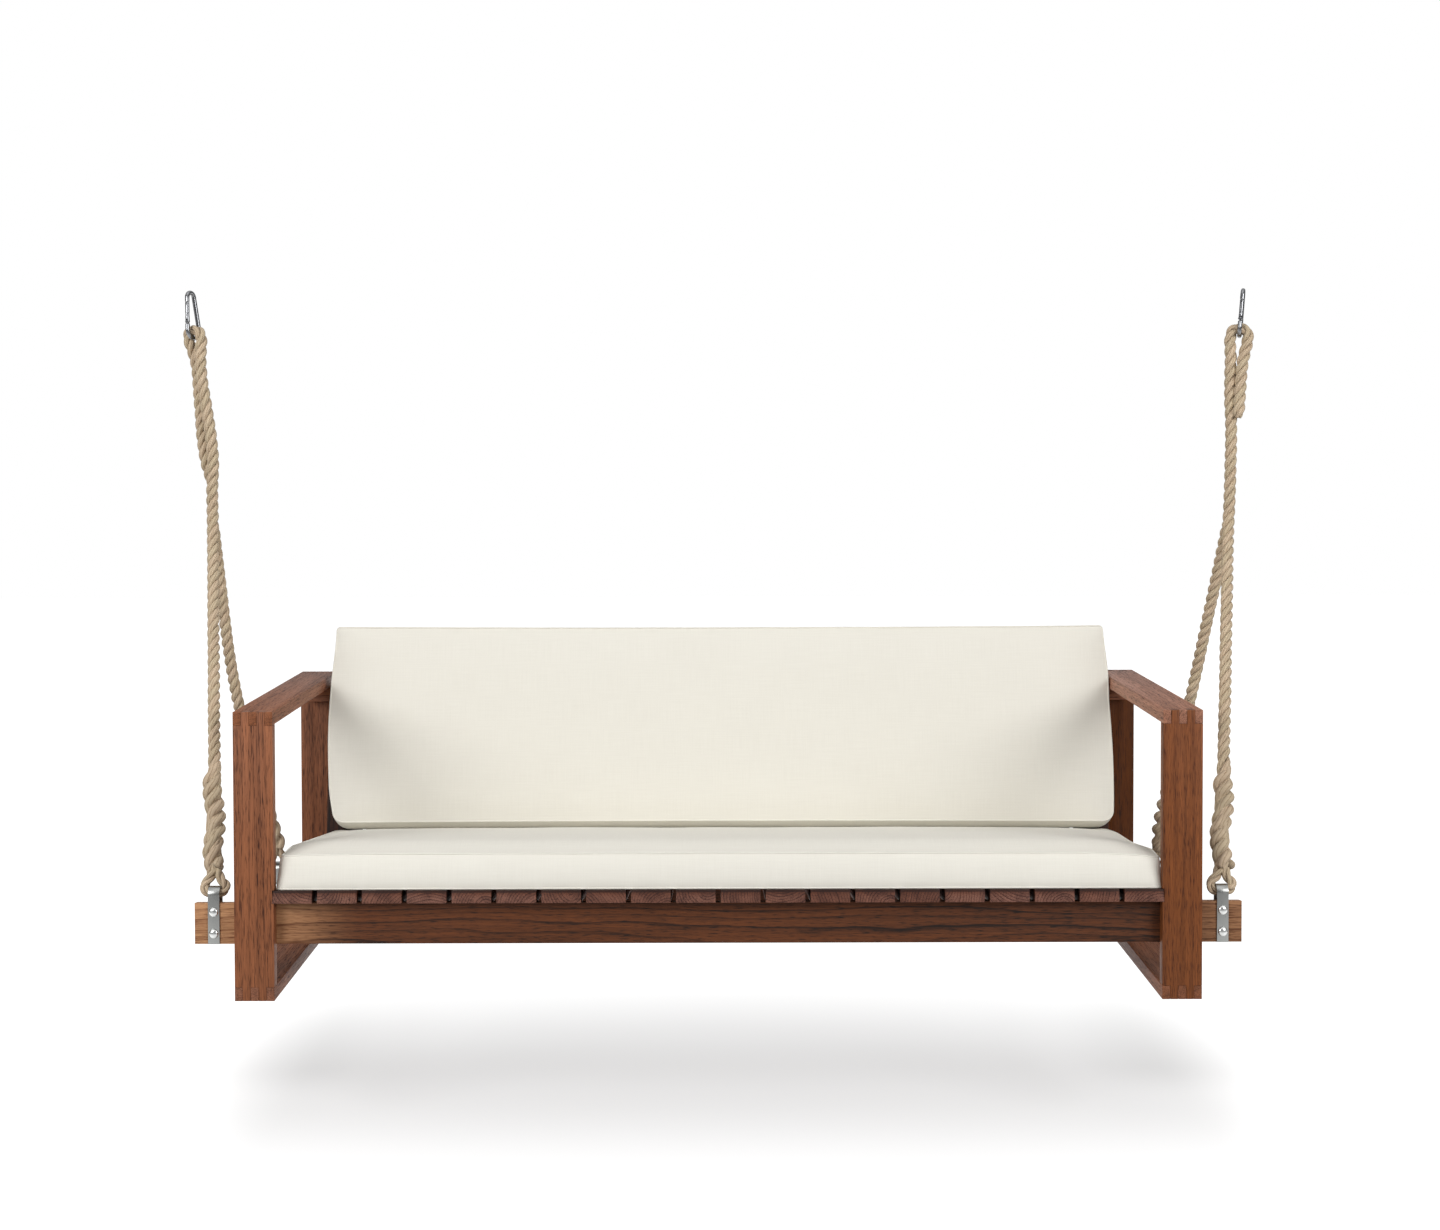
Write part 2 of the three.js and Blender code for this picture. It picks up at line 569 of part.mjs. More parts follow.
// The rope above the fork: its tail, the eye over the carabiner, and the rope down to the fork.
function hangingRope(side) {
  const route = vectors(side < 0 ? LEFT_ROPE_ROUTE : RIGHT_ROPE_ROUTE)
    .map((point) => point.add(new THREE.Vector3(side * HOOK_X, BALANCE_Y, HANG_HEIGHT)));
  const rope = barAlong(route, ROPE_RADIUS, ROPE_SIDES, 2);
  return piece(`hanging_rope_${sideName(side)}`, joined(rope, ball(FORK_BALL_RADIUS, forkPoint(side))),
    hemp);
}

// Where a rope eye passes under a strap's arch.
function eyePoint(side, beamY, beamBottom) {
  const archTop = beamBottom + BEAM_HEIGHT + ARCH_RISE;
  return new THREE.Vector3(side * STRAP_X, beamY + BEAM_THICK / 2,
    archTop - ROPE_RADIUS - ROPE_SEAT_GAP);
}

// A leg's line from its eye to the fork, with its middle bowed sideways.
function legLine(side, eye, bow) {
  const fork = forkPoint(side);
  const middle = eye.clone().lerp(fork, LEG_MIDDLE);
  middle.x += bow;
  return [eye, middle, fork];
}

// The tucked strands round a leg, as one solid of revolution from the eye's end up.
function spliceGeometry() {
  const profile = [[0, 0], [SPLICE_BASE_RADIUS, 0], [SPLICE_RADIUS, SPLICE_LENGTH * 0.1],
    [SPLICE_RADIUS, SPLICE_LENGTH * 0.8], [SPLICE_TIP_RADIUS, SPLICE_LENGTH], [0, SPLICE_LENGTH]];
  return new THREE.LatheGeometry(profile.map(([r, h]) => new THREE.Vector2(r, h)), ROUND_SIDES);
}

// Half of a rope eye, as [across, rise] points from under the arch to the splice. The rope goes
// round the strap's edge in a quarter turn, and then the eye's two sides come together.
function halfEye() {
  const bend = ROPE_RADIUS + ROPE_SEAT_GAP;
  const reach = STRAP_WIDTH / 2 + ROPE_SEAT_GAP;
  const quarterTurn = [0, 30, 60, 90].map((degrees) => {
    const angle = THREE.MathUtils.degToRad(degrees);
    return [reach + bend * Math.sin(angle), bend * (1 - Math.cos(angle))];
  });
  const closing = [[ROPE_RADIUS * 1.7, EYE_LENGTH * 0.6], [ROPE_RADIUS * 0.6, EYE_LENGTH * 1.1]];
  return [[STRAP_WIDTH / 4, 0], ...quarterTurn, ...closing];
}

// One leg of the bridle: the rope from the fork, the thick splice, and the eye under the arch.
function bridleLeg(name, line, start) {
  const [eye, middle, fork] = line;
  const up = middle.clone().sub(eye).normalize();
  const along = (distance) => eye.clone().addScaledVector(up, distance);
  const fromFork = middle.clone().sub(fork).normalize();
  const top = fork.clone().addScaledVector(fromFork, start);
  const spliceMiddle = along(EYE_LENGTH + SPLICE_LENGTH - SPLICE_RADIUS);
  const straight = barAlong([spliceMiddle, middle, top], ROPE_RADIUS, ROPE_SIDES, 3);
  const upright = new THREE.Quaternion().setFromUnitVectors(new THREE.Vector3(0, 1, 0), up);
  const splice = spliceGeometry().applyQuaternion(upright).translate(...along(EYE_LENGTH).toArray());
  const eyeSide = (way) => halfEye().map(([across, rise]) =>
    along(rise).add(new THREE.Vector3(way * across, 0, 0)));
  const loop = barAlong([...eyeSide(1).reverse(), eye.clone(), ...eyeSide(-1)],
    ROPE_RADIUS, ROPE_SIDES, 1);
  return piece(name, cut(joined(straight, splice, loop), ball(FORK_BALL_RADIUS + JOINT_GAP, fork)),
    hemp);
}

// The rear leg starts beside the front leg, where the two ropes have parted by a diameter.
function bridle(side) {
  const group = new THREE.Group();
  const name = sideName(side);
  const index = side < 0 ? 0 : 1;
  const front = legLine(side, eyePoint(side, FRONT_BEAM_Y, FRONT_BEAM_BOTTOM), FRONT_LEG_BOW[index]);
  const rear = legLine(side, eyePoint(side, REAR_BEAM_Y, REAR_BEAM_BOTTOM), REAR_LEG_BOW[index]);
  const spread = front[1].clone().sub(front[2]).angleTo(rear[1].clone().sub(rear[2]));
  const parted = (ROPE_RADIUS * (1 + Math.cos(spread)) + JOINT_GAP) / Math.sin(spread);
  group.add(bridleLeg(`front_rope_leg_${name}`, front, 0));
  group.add(bridleLeg(`rear_rope_leg_${name}`, rear, parted));
  return group;
}

// ---- assembly ----
seatSlats();
deck.add(seatCushion());
back.add(backPanel(), backCushion());

const swing = new THREE.Group();
swing.position.set(0, -BALANCE_Y, -HANG_HEIGHT);
swing.add(sideFrame(-1), sideFrame(1));
swing.add(beam('front_beam', FRONT_BEAM_Y, FRONT_BEAM_BOTTOM));
swing.add(beam('rear_beam', REAR_BEAM_Y, REAR_BEAM_BOTTOM));
swing.add(deck, topRail());
for (const side of [-1, 1]) {
  swing.add(strapAndBolts('front', FRONT_BEAM_Y, FRONT_BEAM_BOTTOM, side));
  swing.add(strapAndBolts('rear', REAR_BEAM_Y, REAR_BEAM_BOTTOM, side));
  swing.add(hangingRope(side), bridle(side));
}
swing.add(carabiner(-1, LEFT_CARABINER_TURN), carabiner(1, RIGHT_CARABINER_TURN));

const porchSwing = new THREE.Group();
porchSwing.add(swing);

export default porchSwing;
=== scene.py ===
# %% [markdown]
# # A hanging porch swing
# Two square wooden side frames hold a slatted seat and a leaning back between them. Two beams run
# out past the frames, and a rope bridle on each side goes up from the beam ends to a carabiner.
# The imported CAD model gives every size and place, so each piece here is made around it.

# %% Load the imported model
import math
import random

import bmesh
import bpy
import numpy as np
from mathutils import Matrix, Vector, noise


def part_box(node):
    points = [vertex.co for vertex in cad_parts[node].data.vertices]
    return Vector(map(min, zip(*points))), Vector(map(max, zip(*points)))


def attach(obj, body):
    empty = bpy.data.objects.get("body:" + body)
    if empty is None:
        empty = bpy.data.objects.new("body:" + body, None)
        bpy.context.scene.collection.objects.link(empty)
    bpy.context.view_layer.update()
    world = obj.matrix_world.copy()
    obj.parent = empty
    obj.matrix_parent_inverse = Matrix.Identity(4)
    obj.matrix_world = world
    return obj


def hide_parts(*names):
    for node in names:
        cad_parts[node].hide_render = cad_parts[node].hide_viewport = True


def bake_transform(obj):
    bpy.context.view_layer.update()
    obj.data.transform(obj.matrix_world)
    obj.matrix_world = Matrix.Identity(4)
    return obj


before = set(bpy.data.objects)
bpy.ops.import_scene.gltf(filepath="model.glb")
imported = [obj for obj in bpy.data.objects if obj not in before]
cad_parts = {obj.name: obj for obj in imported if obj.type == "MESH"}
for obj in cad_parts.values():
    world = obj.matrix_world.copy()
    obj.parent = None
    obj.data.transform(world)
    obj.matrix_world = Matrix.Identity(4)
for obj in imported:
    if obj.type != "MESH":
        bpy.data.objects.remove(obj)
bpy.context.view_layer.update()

scene = bpy.context.scene
MM = 0.001

# %% [markdown]
# ## Small helpers
# A few things are done for many pieces: putting an object in the scene, reading and writing a
# mesh's points and attributes, and taking the plain mesh that an object's modifiers make.

# %% Objects, meshes and attributes
SMOOTH_ANGLE = math.radians(40)


def linked(name, data):
    """An object of some data, put in the scene."""
    obj = bpy.data.objects.new(name, data)
    scene.collection.objects.link(obj)
    return obj


def points_of(mesh):
    co = np.zeros(len(mesh.vertices) * 3, np.float32)
    mesh.vertices.foreach_get("co", co)
    return co.reshape(-1, 3).astype(float)


def set_points(mesh, points):
    mesh.vertices.foreach_set("co", points.astype(np.float32).ravel())


def store(mesh, name, kind, domain, values):
    """Keeps values on a mesh as a named attribute."""
    layer = mesh.attributes.new(name, kind, domain)
    field = "vector" if kind == "FLOAT_VECTOR" else "value"
    layer.data.foreach_set(field, np.asarray(values, np.float32).ravel())


def smooth_mesh(name, verts, faces):
    mesh = bpy.data.meshes.new(name)
    mesh.from_pydata(verts.tolist(), [], faces)
    mesh.polygons.foreach_set("use_smooth", [True] * len(mesh.polygons))
    return mesh


def plain_mesh(bm, name):
    """The mesh of a finished bmesh, smooth but for its sharp edges."""
    mesh = bpy.data.meshes.new(name)
    bm.to_mesh(mesh)
    bm.free()
    mesh.polygons.foreach_set("use_smooth", [True] * len(mesh.polygons))
    mesh.set_sharp_from_angle(angle=SMOOTH_ANGLE)
    return mesh


def evaluated_mesh(obj, **options):
    """The plain mesh that an object's modifiers make."""
    depsgraph = bpy.context.evaluated_depsgraph_get()
    return bpy.data.meshes.new_from_object(obj.evaluated_get(depsgraph), depsgraph=depsgraph,
                                           **options)


def shown(mesh, name, material, body, slot, *replaced):
    """A finished piece: its object, material, body, finish slot and the CAD nodes it stands for.
    The finish slot is not used.
    """
    mesh.materials.clear()
    mesh.materials.append(material)
    obj = linked(name, mesh)
    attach(obj, body)
    if replaced:
        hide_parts(*replaced)
    return obj


# %% Curves and tubes
def smoothstep(t):
    """0 up to 1, with soft ends."""
    t = np.clip(t, 0, 1)
    return t * t * (3 - 2 * t)


def band(value, low, high, soft):
    """1 between two values and 0 outside them, with soft ends."""
    return smoothstep(np.minimum(value - low, high - value) / soft + 0.5)


def unit(vectors):
    return vectors / np.maximum(np.linalg.norm(vectors, axis=-1, keepdims=True), 1e-12)


def arc_lengths(line):
    return np.concatenate([[0], np.cumsum(np.linalg.norm(np.diff(line, axis=0), axis=1))])


def smooth_line(points, step):
    """Evenly spaced points along a smooth curve through the given ones."""
    p = np.array([tuple(point) for point in points], float)
    p = np.vstack([2 * p[0] - p[1], p, 2 * p[-1] - p[-2]])
    out = []
    for i in range(1, len(p) - 2):
        a, b, c, d = p[i - 1:i + 3]
        t0, t1, t2 = (max(np.linalg.norm(v), 1e-9) ** 0.5 for v in (b - a, c - b, d - c))
        m1 = (b - a) / t0 - (c - a) / (t0 + t1) + (c - b) / t1
        m2 = (c - b) / t1 - (d - b) / (t1 + t2) + (d - c) / t2
        t = np.linspace(0, 1, 24, endpoint=False)[:, None]
        out.append((2 * t**3 - 3 * t**2 + 1) * b + (t**3 - 2 * t**2 + t) * m1 * t1
                   + (3 * t**2 - 2 * t**3) * c + (t**3 - t**2) * m2 * t1)
    line = np.vstack(out + [p[-2:-1]])
    reach = arc_lengths(line)
    at = np.linspace(0, reach[-1], max(3, int(round(reach[-1] / step)) + 1))
    return np.stack([np.interp(at, reach, line[:, k]) for k in range(3)], 1)


def carried_frames(line):
    """Two directions across a line that don't twist about it."""
    along = unit(np.gradient(line, axis=0))
    first = np.zeros_like(line)
    side = np.eye(3)[np.argmin(np.abs(along[0]))]
    for i, direction in enumerate(along):
        side = side - direction * side.dot(direction)
        side /= max(np.linalg.norm(side), 1e-9)
        first[i] = side
    return first, np.cross(along, first)


def ring_points(line, first, second, radii, sides):
    """A ring of points round every point of a line, one ring after another."""
    angles = np.arange(sides) * 2 * math.pi / sides
    ring = (np.cos(angles)[None, :, None] * first[:, None, :]
            + np.sin(angles)[None, :, None] * second[:, None, :])
    return (line[:, None, :] + ring * np.asarray(radii)[:, None, None]).reshape(-1, 3)


def tube_data(line, radii, sides):
    """Vertices, faces and UVs of a closed tube: U is metres along it, V is turns round it."""
    verts = ring_points(line, *carried_frames(line), radii, sides)
    reach = arc_lengths(line)
    faces, uvs = [], []
    for i in range(len(line) - 1):
        for j in range(sides):
            k = (j + 1) % sides
            faces.append((i * sides + j, i * sides + k, (i + 1) * sides + k, (i + 1) * sides + j))
            low, high = j / sides, (j + 1) / sides
            uvs += [(reach[i], low), (reach[i], high), (reach[i + 1], high), (reach[i + 1], low)]
    for start, order in ((0, range(sides - 1, -1, -1)), ((len(line) - 1) * sides, range(sides))):
        faces.append(tuple(start + j for j in order))
        uvs += [(reach[0 if start == 0 else -1], j / sides) for j in order]
    return verts, faces, uvs


# %% [markdown]
# ## The camera
# A long lens from straight in front, above the armrests and the back, keeps the frames' uprights
# parallel. The swing sits low in the frame, which the lens shift does with hardly any tilt.

# %% Camera
post_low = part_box("front_post_right")[0]
front_y = post_low.y
rail_z = post_low.z

CAMERA_DISTANCE = 4.662
CAMERA_HEIGHT = 1.1726
CAMERA_SIDE = -0.0055
CAMERA_PITCH = 0.03094
CAMERA_ROLL = -0.0022

camera_data = bpy.data.cameras.new("camera")
camera_data.lens = 56.77
camera_data.sensor_width = 36
camera_data.shift_x = 0.0037
camera_data.shift_y = -0.0776
camera_data.clip_end = 60
camera = linked("camera", camera_data)
turn = Matrix.Rotation(math.pi / 2 - CAMERA_PITCH, 4, "X") @ Matrix.Rotation(CAMERA_ROLL, 4, "Z")
camera_place = (CAMERA_SIDE, front_y - CAMERA_DISTANCE, rail_z + CAMERA_HEIGHT)
camera.matrix_world = Matrix.Translation(camera_place) @ turn
scene.camera = camera
print("camera at", tuple(round(c, 3) for c in camera.location))

# %% [markdown]
# ## The ropes
# Each rope is three strands laid together. A plain tube with a bump would show smooth edges, so
# every strand is a tube of its own that winds round the rope's centre line. The routes are given
# in millimetres from each hook and follow the CAD model's, but for the tails' last stretch. One
# rope on each side runs from the front strap's eye up the front leg, through the fork, over the
# carabiner and down again to its cut end.

# %% Rope routes
ROPE_RADIUS = 0.012
STRAP_THICK = 0.003
SEAT_GAP = 0.0028
EYE_LENGTH = 0.058
SPLICE_LENGTH = 0.24
HOOK_X = 1.188
LEG_MIDDLE = 0.55
REAR_BOW = {-1: -0.024, 1: 0.0}
BOW_POINT = {-1: 11, 1: 7}

TOP_ROUTES = {
    -1: [
        (41, 23, -428), (36, 19, -406), (29, 13, -374), (23, 11, -330), (18.2, 11, -262),
        (14.2, 11, -205), (12, 11.5, -172), (8, 11.5, -146), (0.5, 11, -121), (-6.4, 9.6, -99.2),
        (-4.4, 6.6, -84.6), (6.3, 0, -80.1),
        (19.5, -6, -82.5), (25.9, -8.8, -96.2), (25.6, -10, -116), (24, -11, -146),
        (25, -11.5, -172), (28.4, -11, -205), (36.6, -9, -258), (45.8, -6, -326), (48.8, -4, -376),
        (45.3, 0, -440), (46.3, 0, -515),
    ],
    1: [
        (-12.5, -14, -282), (-9, -11, -241), (-4.6, -8, -180), (0.8, -6, -146), (7.4, -4.8, -120),
        (10.9, -4.8, -99.2), (6.6, -3.8, -85), (-6.3, -0.3, -80.1), (-19.8, 3.2, -82.9),
        (-26.2, 4.8, -96.2), (-27.4, 4.8, -116), (-25.6, 5, -146), (-26.4, 5, -180),
        (-26.8, 4.5, -241), (-24.6, 3.5, -304), (-26, 0, -385), (-28.3, 0, -466),
        (-30.3, 0, -515),
    ],
}
SIDES = {-1: "left", 1: "right"}


def top_route(side):
    """Tail end, over the carabiner's bow, down to the fork."""
    hook = Vector((side * HOOK_X, 0, 0))
    return [hook + Vector(point) * MM for point in TOP_ROUTES[side]]


def strap_eye(side, end):
    """The rope's middle where it passes under a strap's arch."""
    low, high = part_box(f"rope_strap_{end}_{SIDES[side]}")
    arch_underside = high.z - STRAP_THICK
    return Vector(((low.x + high.x) / 2, (low.y + high.y) / 2,
                   arch_underside - ROPE_RADIUS - SEAT_GAP))


def leg_route(side, end):
    """One leg of the bridle: its eye, the way up from there, its middle and its fork."""
    eye = strap_eye(side, end)
    fork = top_route(side)[-1]
    middle = eye.lerp(fork, LEG_MIDDLE)
    if end == "rear":
        middle.x += REAR_BOW[side]
    return eye, (middle - eye).normalized(), middle, fork


HALF_EYE = [(0, 4), (6, 4), (13, 4.6), (18.8, 7.5), (22.2, 12.5), (22.6, 18), (19.2, 24.5),
            (13.2, 32), (8.5, 41), (4, 55), (0, 75)]


def half_eye(side, end, way):
    """From under the arch round one side of the eye and into the splice."""
    eye, up = leg_route(side, end)[:2]
    return [eye + up * rise * MM + Vector((way * across * MM, 0, 0)) for across, rise in HALF_EYE]


# %% Strands
ROPE_LAY = 0.07
STRAND_RADIUS = 0.0065
STRAND_OFFSET = 0.0073
STRAND_SIDES = 12
STRAND_STEP = 0.003
STRAND_UNEVEN = ((0.03, 61, 2.1), (0.02, 173, 1.0))
GROOVE_START = 0.45
GROOVE_FADE = 0.75
ROUND_END = 0.6
CUT_END = 0.45
LOOP_ANGLE = 0.4
LEG_ANGLE = 0.7
EYE_SQUEEZE = 0.75
EYE_REACH = 0.05
BOW_SQUEEZE = 0.88
BOW_REACH = 0.026
SOFT_CHANGE = 0.03
SPLICE_LAY_SHARE = 1.35
SPLICE_SWELL = 0.12
TUCK_RADIUS = 0.0092
TUCK_OFFSET = 0.0117
TUCK_SWAY = 0.0038
TUCK_DIVE = 0.058
TUCK_UNEVEN = 0.09
TUCK_TAPER = 0.02
TUCK_STAGGER = 0.022
TUCK_SUNK = 0.55


def strand_tube(line, frames, offsets, radii, angles):
    """One strand's tube, with how deep each of its points lies in the groove between strands.
    That depth is used for painted shade in the groove.
    """
    first, second = frames
    winding = line + offsets[:, None] * (np.cos(angles)[:, None] * first
                                         + np.sin(angles)[:, None] * second)
    verts, faces, uvs = tube_data(winding, radii, STRAND_SIDES)
    axis, offset, radius = (np.repeat(a, STRAND_SIDES, axis=0) for a in (line, offsets, radii))
    outward = (np.linalg.norm(verts - axis, axis=1) - offset) / radius
    return verts, faces, uvs, np.clip((GROOVE_START - outward) / GROOVE_FADE, 0, 1)


class Laid:
    """A rope along a line: its frames, the angle it is laid at, and its strands' shares.

    The strands are squeezed in an eye and on a carabiner's bow. Inside a splice the tucked ones
    hold them a little apart and stretch their lay."""

    def __init__(self, line, eye, up, bow=None, start_angle=0.0):
        self.line = line
        self.reach = arc_lengths(line)
        self.frames = carried_frames(line)
        self.rise = (line - np.array(eye)) @ np.array(up)
        beside = np.linalg.norm(line - np.array(eye) - self.rise[:, None] * np.array(up), axis=1)
        self.near = beside < EYE_REACH
        squeezed = self.near * band(self.rise, -EYE_REACH, EYE_LENGTH * 0.85, SOFT_CHANGE)
        swollen = self.near * band(self.rise, EYE_LENGTH, EYE_LENGTH + SPLICE_LENGTH, SOFT_CHANGE)
        self.radius = 1 - (1 - EYE_SQUEEZE) * squeezed
        self.offset = self.radius + SPLICE_SWELL * swollen
        if bow is not None:
            away = np.linalg.norm(line - np.array(bow), axis=1)
            held = 1 - (1 - BOW_SQUEEZE) * np.exp(-(away / BOW_REACH) ** 2)
            self.offset, self.radius = self.offset * held, self.radius * held
        lay = ROPE_LAY * (1 + (SPLICE_LAY_SHARE - 1) * swollen)
        turns = np.concatenate([[0], np.cumsum(np.diff(self.reach) * 2 / (lay[1:] + lay[:-1]))])
        self.angles = start_angle + 2 * math.pi * turns

    def strands(self, ends=(ROUND_END, ROUND_END)):
        """The three strands. Each end is rounded off to a share of its size."""
        near = (self.reach / ROPE_RADIUS, (self.reach[-1] - self.reach) / ROPE_RADIUS)
        close = np.minimum(*(np.clip(away, 0, 1) * (1 - end) + end
                             for away, end in zip(near, ends)))
        parts = []
        for strand in range(3):
            uneven = 1 + sum(depth * np.sin(self.reach * pace + strand * lag)
                             for depth, pace, lag in STRAND_UNEVEN)
            parts.append(strand_tube(self.line, self.frames, STRAND_OFFSET * close * self.offset,
                                     STRAND_RADIUS * close * uneven * self.radius,
                                     self.angles + 2 * math.pi * strand / 3))
        return parts

    def tucks(self):
        """The strands tucked into a splice: each fills a groove, and dives under now and then."""
        inside = np.flatnonzero(self.near & (self.rise > EYE_LENGTH * 0.95)
                                & (self.rise < EYE_LENGTH + SPLICE_LENGTH))
        line, rise = self.line[inside], self.rise[inside] - EYE_LENGTH
        frames = [axis[inside] for axis in self.frames]
        parts = []
        for strand in range(3):
            dive = np.sin(2 * math.pi * (rise / TUCK_DIVE + strand / 3))
            last = SPLICE_LENGTH - strand * TUCK_STAGGER
            size = np.clip((last - rise) / TUCK_TAPER, 0.02, 1) ** 0.5
            offsets = (TUCK_OFFSET + TUCK_SWAY * dive) * (TUCK_SUNK + (1 - TUCK_SUNK) * size)
            radii = TUCK_RADIUS * (1 + TUCK_UNEVEN * dive) * size
            parts.append(strand_tube(line, frames, offsets, radii,
                                     self.angles[inside] + 2 * math.pi * (strand / 3 + 1 / 6)))
        return parts


def mesh_piece(name, parts):
    """One object from several (verts, faces, uvs, grooves) parts, each with a tone of its own."""
    faces, base = [], 0
    for part_verts, part_faces, _, _ in parts:
        faces += [tuple(base + i for i in face) for face in part_faces]
        base += len(part_verts)
    verts, _, uvs, grooves = zip(*parts)
    mesh = smooth_mesh(name, np.vstack(verts), faces)
    mesh.uv_layers.new(name="along").data.foreach_set(
        "uv", np.concatenate(uvs).astype(np.float32).ravel())
    tones = [np.full(len(part), (number % 3) / 2) for number, part in enumerate(verts)]
    # How deep each point lies between the strands, kept for the painted shade there.
    store(mesh, "groove", "FLOAT", "POINT", np.concatenate(grooves))
    store(mesh, "strand", "FLOAT", "POINT", np.concatenate(tones))
    return linked(name, mesh)


# %% Make the ropes
ropes = []


def declare_rope(piece, length, with_pieces):
    print(piece.name, "length", round(length, 3))


def splice_piece(side, end, leg):
    """The eye's second half and the tucked strands, on the seat's body."""
    eye, up = leg_route(side, end)[:2]
    line = smooth_line(half_eye(side, end, -1), STRAND_STEP)
    loop = Laid(line, eye, up, start_angle=LOOP_ANGLE)
    piece = mesh_piece(f"rope_splice_{end}_{SIDES[side]}", loop.strands() + leg.tucks())
    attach(piece, "seat")
    ropes.append(piece)
    return piece


def make_leg(side, end):
    """A leg of the bridle with its eye. The front one goes on over the carabiner to its cut end."""
    eye, up, middle, fork = leg_route(side, end)
    points = half_eye(side, end, 1) + [eye + up * (EYE_LENGTH + SPLICE_LENGTH), middle]
    if end == "front":
        points += list(reversed(top_route(side)))
        bow = top_route(side)[BOW_POINT[side]]
        name, far_end, exit_point, cut = f"rope_{SIDES[side]}", "bare", points[0], CUT_END
    else:
        points = list(reversed(points + [fork]))
        bow = None
        name, far_end, exit_point, cut = f"rope_rear_leg_{SIDES[side]}", "object", fork, ROUND_END
    line = smooth_line(points, STRAND_STEP)
    leg = Laid(line, eye, up, bow, LEG_ANGLE * side)
    rope = mesh_piece(name, leg.strands((ROUND_END, cut)))
    if end == "front":
        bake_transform(rope)
        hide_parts(f"hanging_rope_{SIDES[side]}", f"front_rope_leg_{SIDES[side]}")
    else:
        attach(rope, "seat")
        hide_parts(f"rear_rope_leg_{SIDES[side]}")
    ropes.append(rope)
    declare_rope(rope, float(arc_lengths(line)[-1]),
                 [splice_piece(side, end, leg)])


for side in SIDES:
    for end in ("front", "rear"):
        make_leg(side, end)

# %% [markdown]
# ## Shader nodes
# The materials are all built from the same few steps: a node with its inputs filled in, a sum of
# weighted values, a fade between two levels, a noise and a bump.

# %% Node helpers
def plug(tree, made, inputs):
    """Fills a node's inputs, each with a value or with another node's output."""
    for key, value in inputs.items():
        if isinstance(value, bpy.types.NodeSocket):
            tree.links.new(value, made.inputs[key])
        else:
            made.inputs[key].default_value = value


def node(tree, kind, inputs=None, **settings):
    """A node with its settings and its inputs."""
    made = tree.nodes.new(kind)
    for key, value in settings.items():
        setattr(made, key, value)
    plug(tree, made, inputs or {})
    return made


def math_node(tree, operation, *values):
    """The result of one sum. Each value is a number or another node's output."""
    return node(tree, "ShaderNodeMath", dict(enumerate(values)), operation=operation).outputs[0]


def weighted(tree, *parts):
    """The total of (value, share) parts, each value times its share."""
    products = [math_node(tree, "MULTIPLY", value, share) for value, share in parts]
    total = products[0]
    for product in products[1:]:
        total = math_node(tree, "ADD", total, product)
    return total


def fade(tree, value, start, end, low=0.0, high=1.0, kind="SMOOTHSTEP"):
    """A change from one level to another as a value goes from start to end."""
    return node(tree, "ShaderNodeMapRange",
                {"Value": value, "From Min": start, "From Max": end, "To Min": low, "To Max": high},
                interpolation_type=kind).outputs["Result"]


def ramp(tree, value, stops, interpolation="EASE"):
    """A colour ramp from (place, grey) stops."""
    made = node(tree, "ShaderNodeValToRGB", {"Fac": value})
    made.color_ramp.interpolation = interpolation
    for i, (place, grey) in enumerate(stops):
        element = made.color_ramp.elements[i] if i < 2 else made.color_ramp.elements.new(place)
        element.position = place
        element.color = (grey, grey, grey, 1)
    return made.outputs["Color"]


def mix_color(tree, factor, a, b):
    return node(tree, "ShaderNodeMix", {0: factor, 6: a, 7: b}, data_type="RGBA").outputs[2]


def stretched(tree, vector, scale):
    return node(tree, "ShaderNodeVectorMath", {0: vector, 1: scale},
                operation="MULTIPLY").outputs[0]


def clouds(tree, vector, scale, detail, result="Fac"):
    """A noise, even in every direction or, with three scales, drawn out."""
    if isinstance(scale, tuple):
        vector, scale = stretched(tree, vector, scale), 1.0
    return node(tree, "ShaderNodeTexNoise",
                {"Vector": vector, "Scale": scale, "Detail": detail}).outputs[result]


def relief(tree, height, strength, distance):
    return node(tree, "ShaderNodeBump", {"Height": height, "Strength": strength,
                                         "Distance": distance}).outputs["Normal"]


def own_place(tree):
    """Object coordinates, which every piece has from the scene's origin."""
    return node(tree, "ShaderNodeTexCoord").outputs["Object"]


def split(tree, vector):
    return node(tree, "ShaderNodeSeparateXYZ", {0: vector}).outputs


def attribute(tree, name, result="Fac"):
    return node(tree, "ShaderNodeAttribute", attribute_name=name).outputs[result]


def new_material(name):
    material = bpy.data.materials.new(name)
    material.use_nodes = True
    return material, material.node_tree, material.node_tree.nodes["Principled BSDF"]


def new_group(name, inputs, outputs):
    """A shader node group with its named sockets, and its two end nodes."""
    group = bpy.data.node_groups.new(name, "ShaderNodeTree")
    for label, kind, value in inputs:
        socket = group.interface.new_socket(label, in_out="INPUT", socket_type=kind)
        if value is not None:
            socket.default_value = value
    for label, kind in outputs:
        group.interface.new_socket(label, in_out="OUTPUT", socket_type=kind)
    return group, group.nodes.new("NodeGroupInput"), group.nodes.new("NodeGroupOutput")


def srgb(red, green, blue):
    """A colour from its 0 to 255 screen values."""
    linear = [c / 12.92 if c <= 0.04045 else ((c + 0.055) / 1.055) ** 2.4
              for c in (red / 255, green / 255, blue / 255)]
    return (*linear, 1)

# %% [markdown]
# ## Wood
# The frame is a red-brown hardwood. Its figure is solid: growth rings round a pith far to one side
# of each board, fine dark pores drawn out along the grain, and slow bands of colour. One node group
# holds all that. Each board carries its own grain coordinates in an attribute, with X along the
# grain, so that a face and the end grain beside it come from the same block of wood.

# %% The wood group
END_GRAIN_SHARE = 0.35


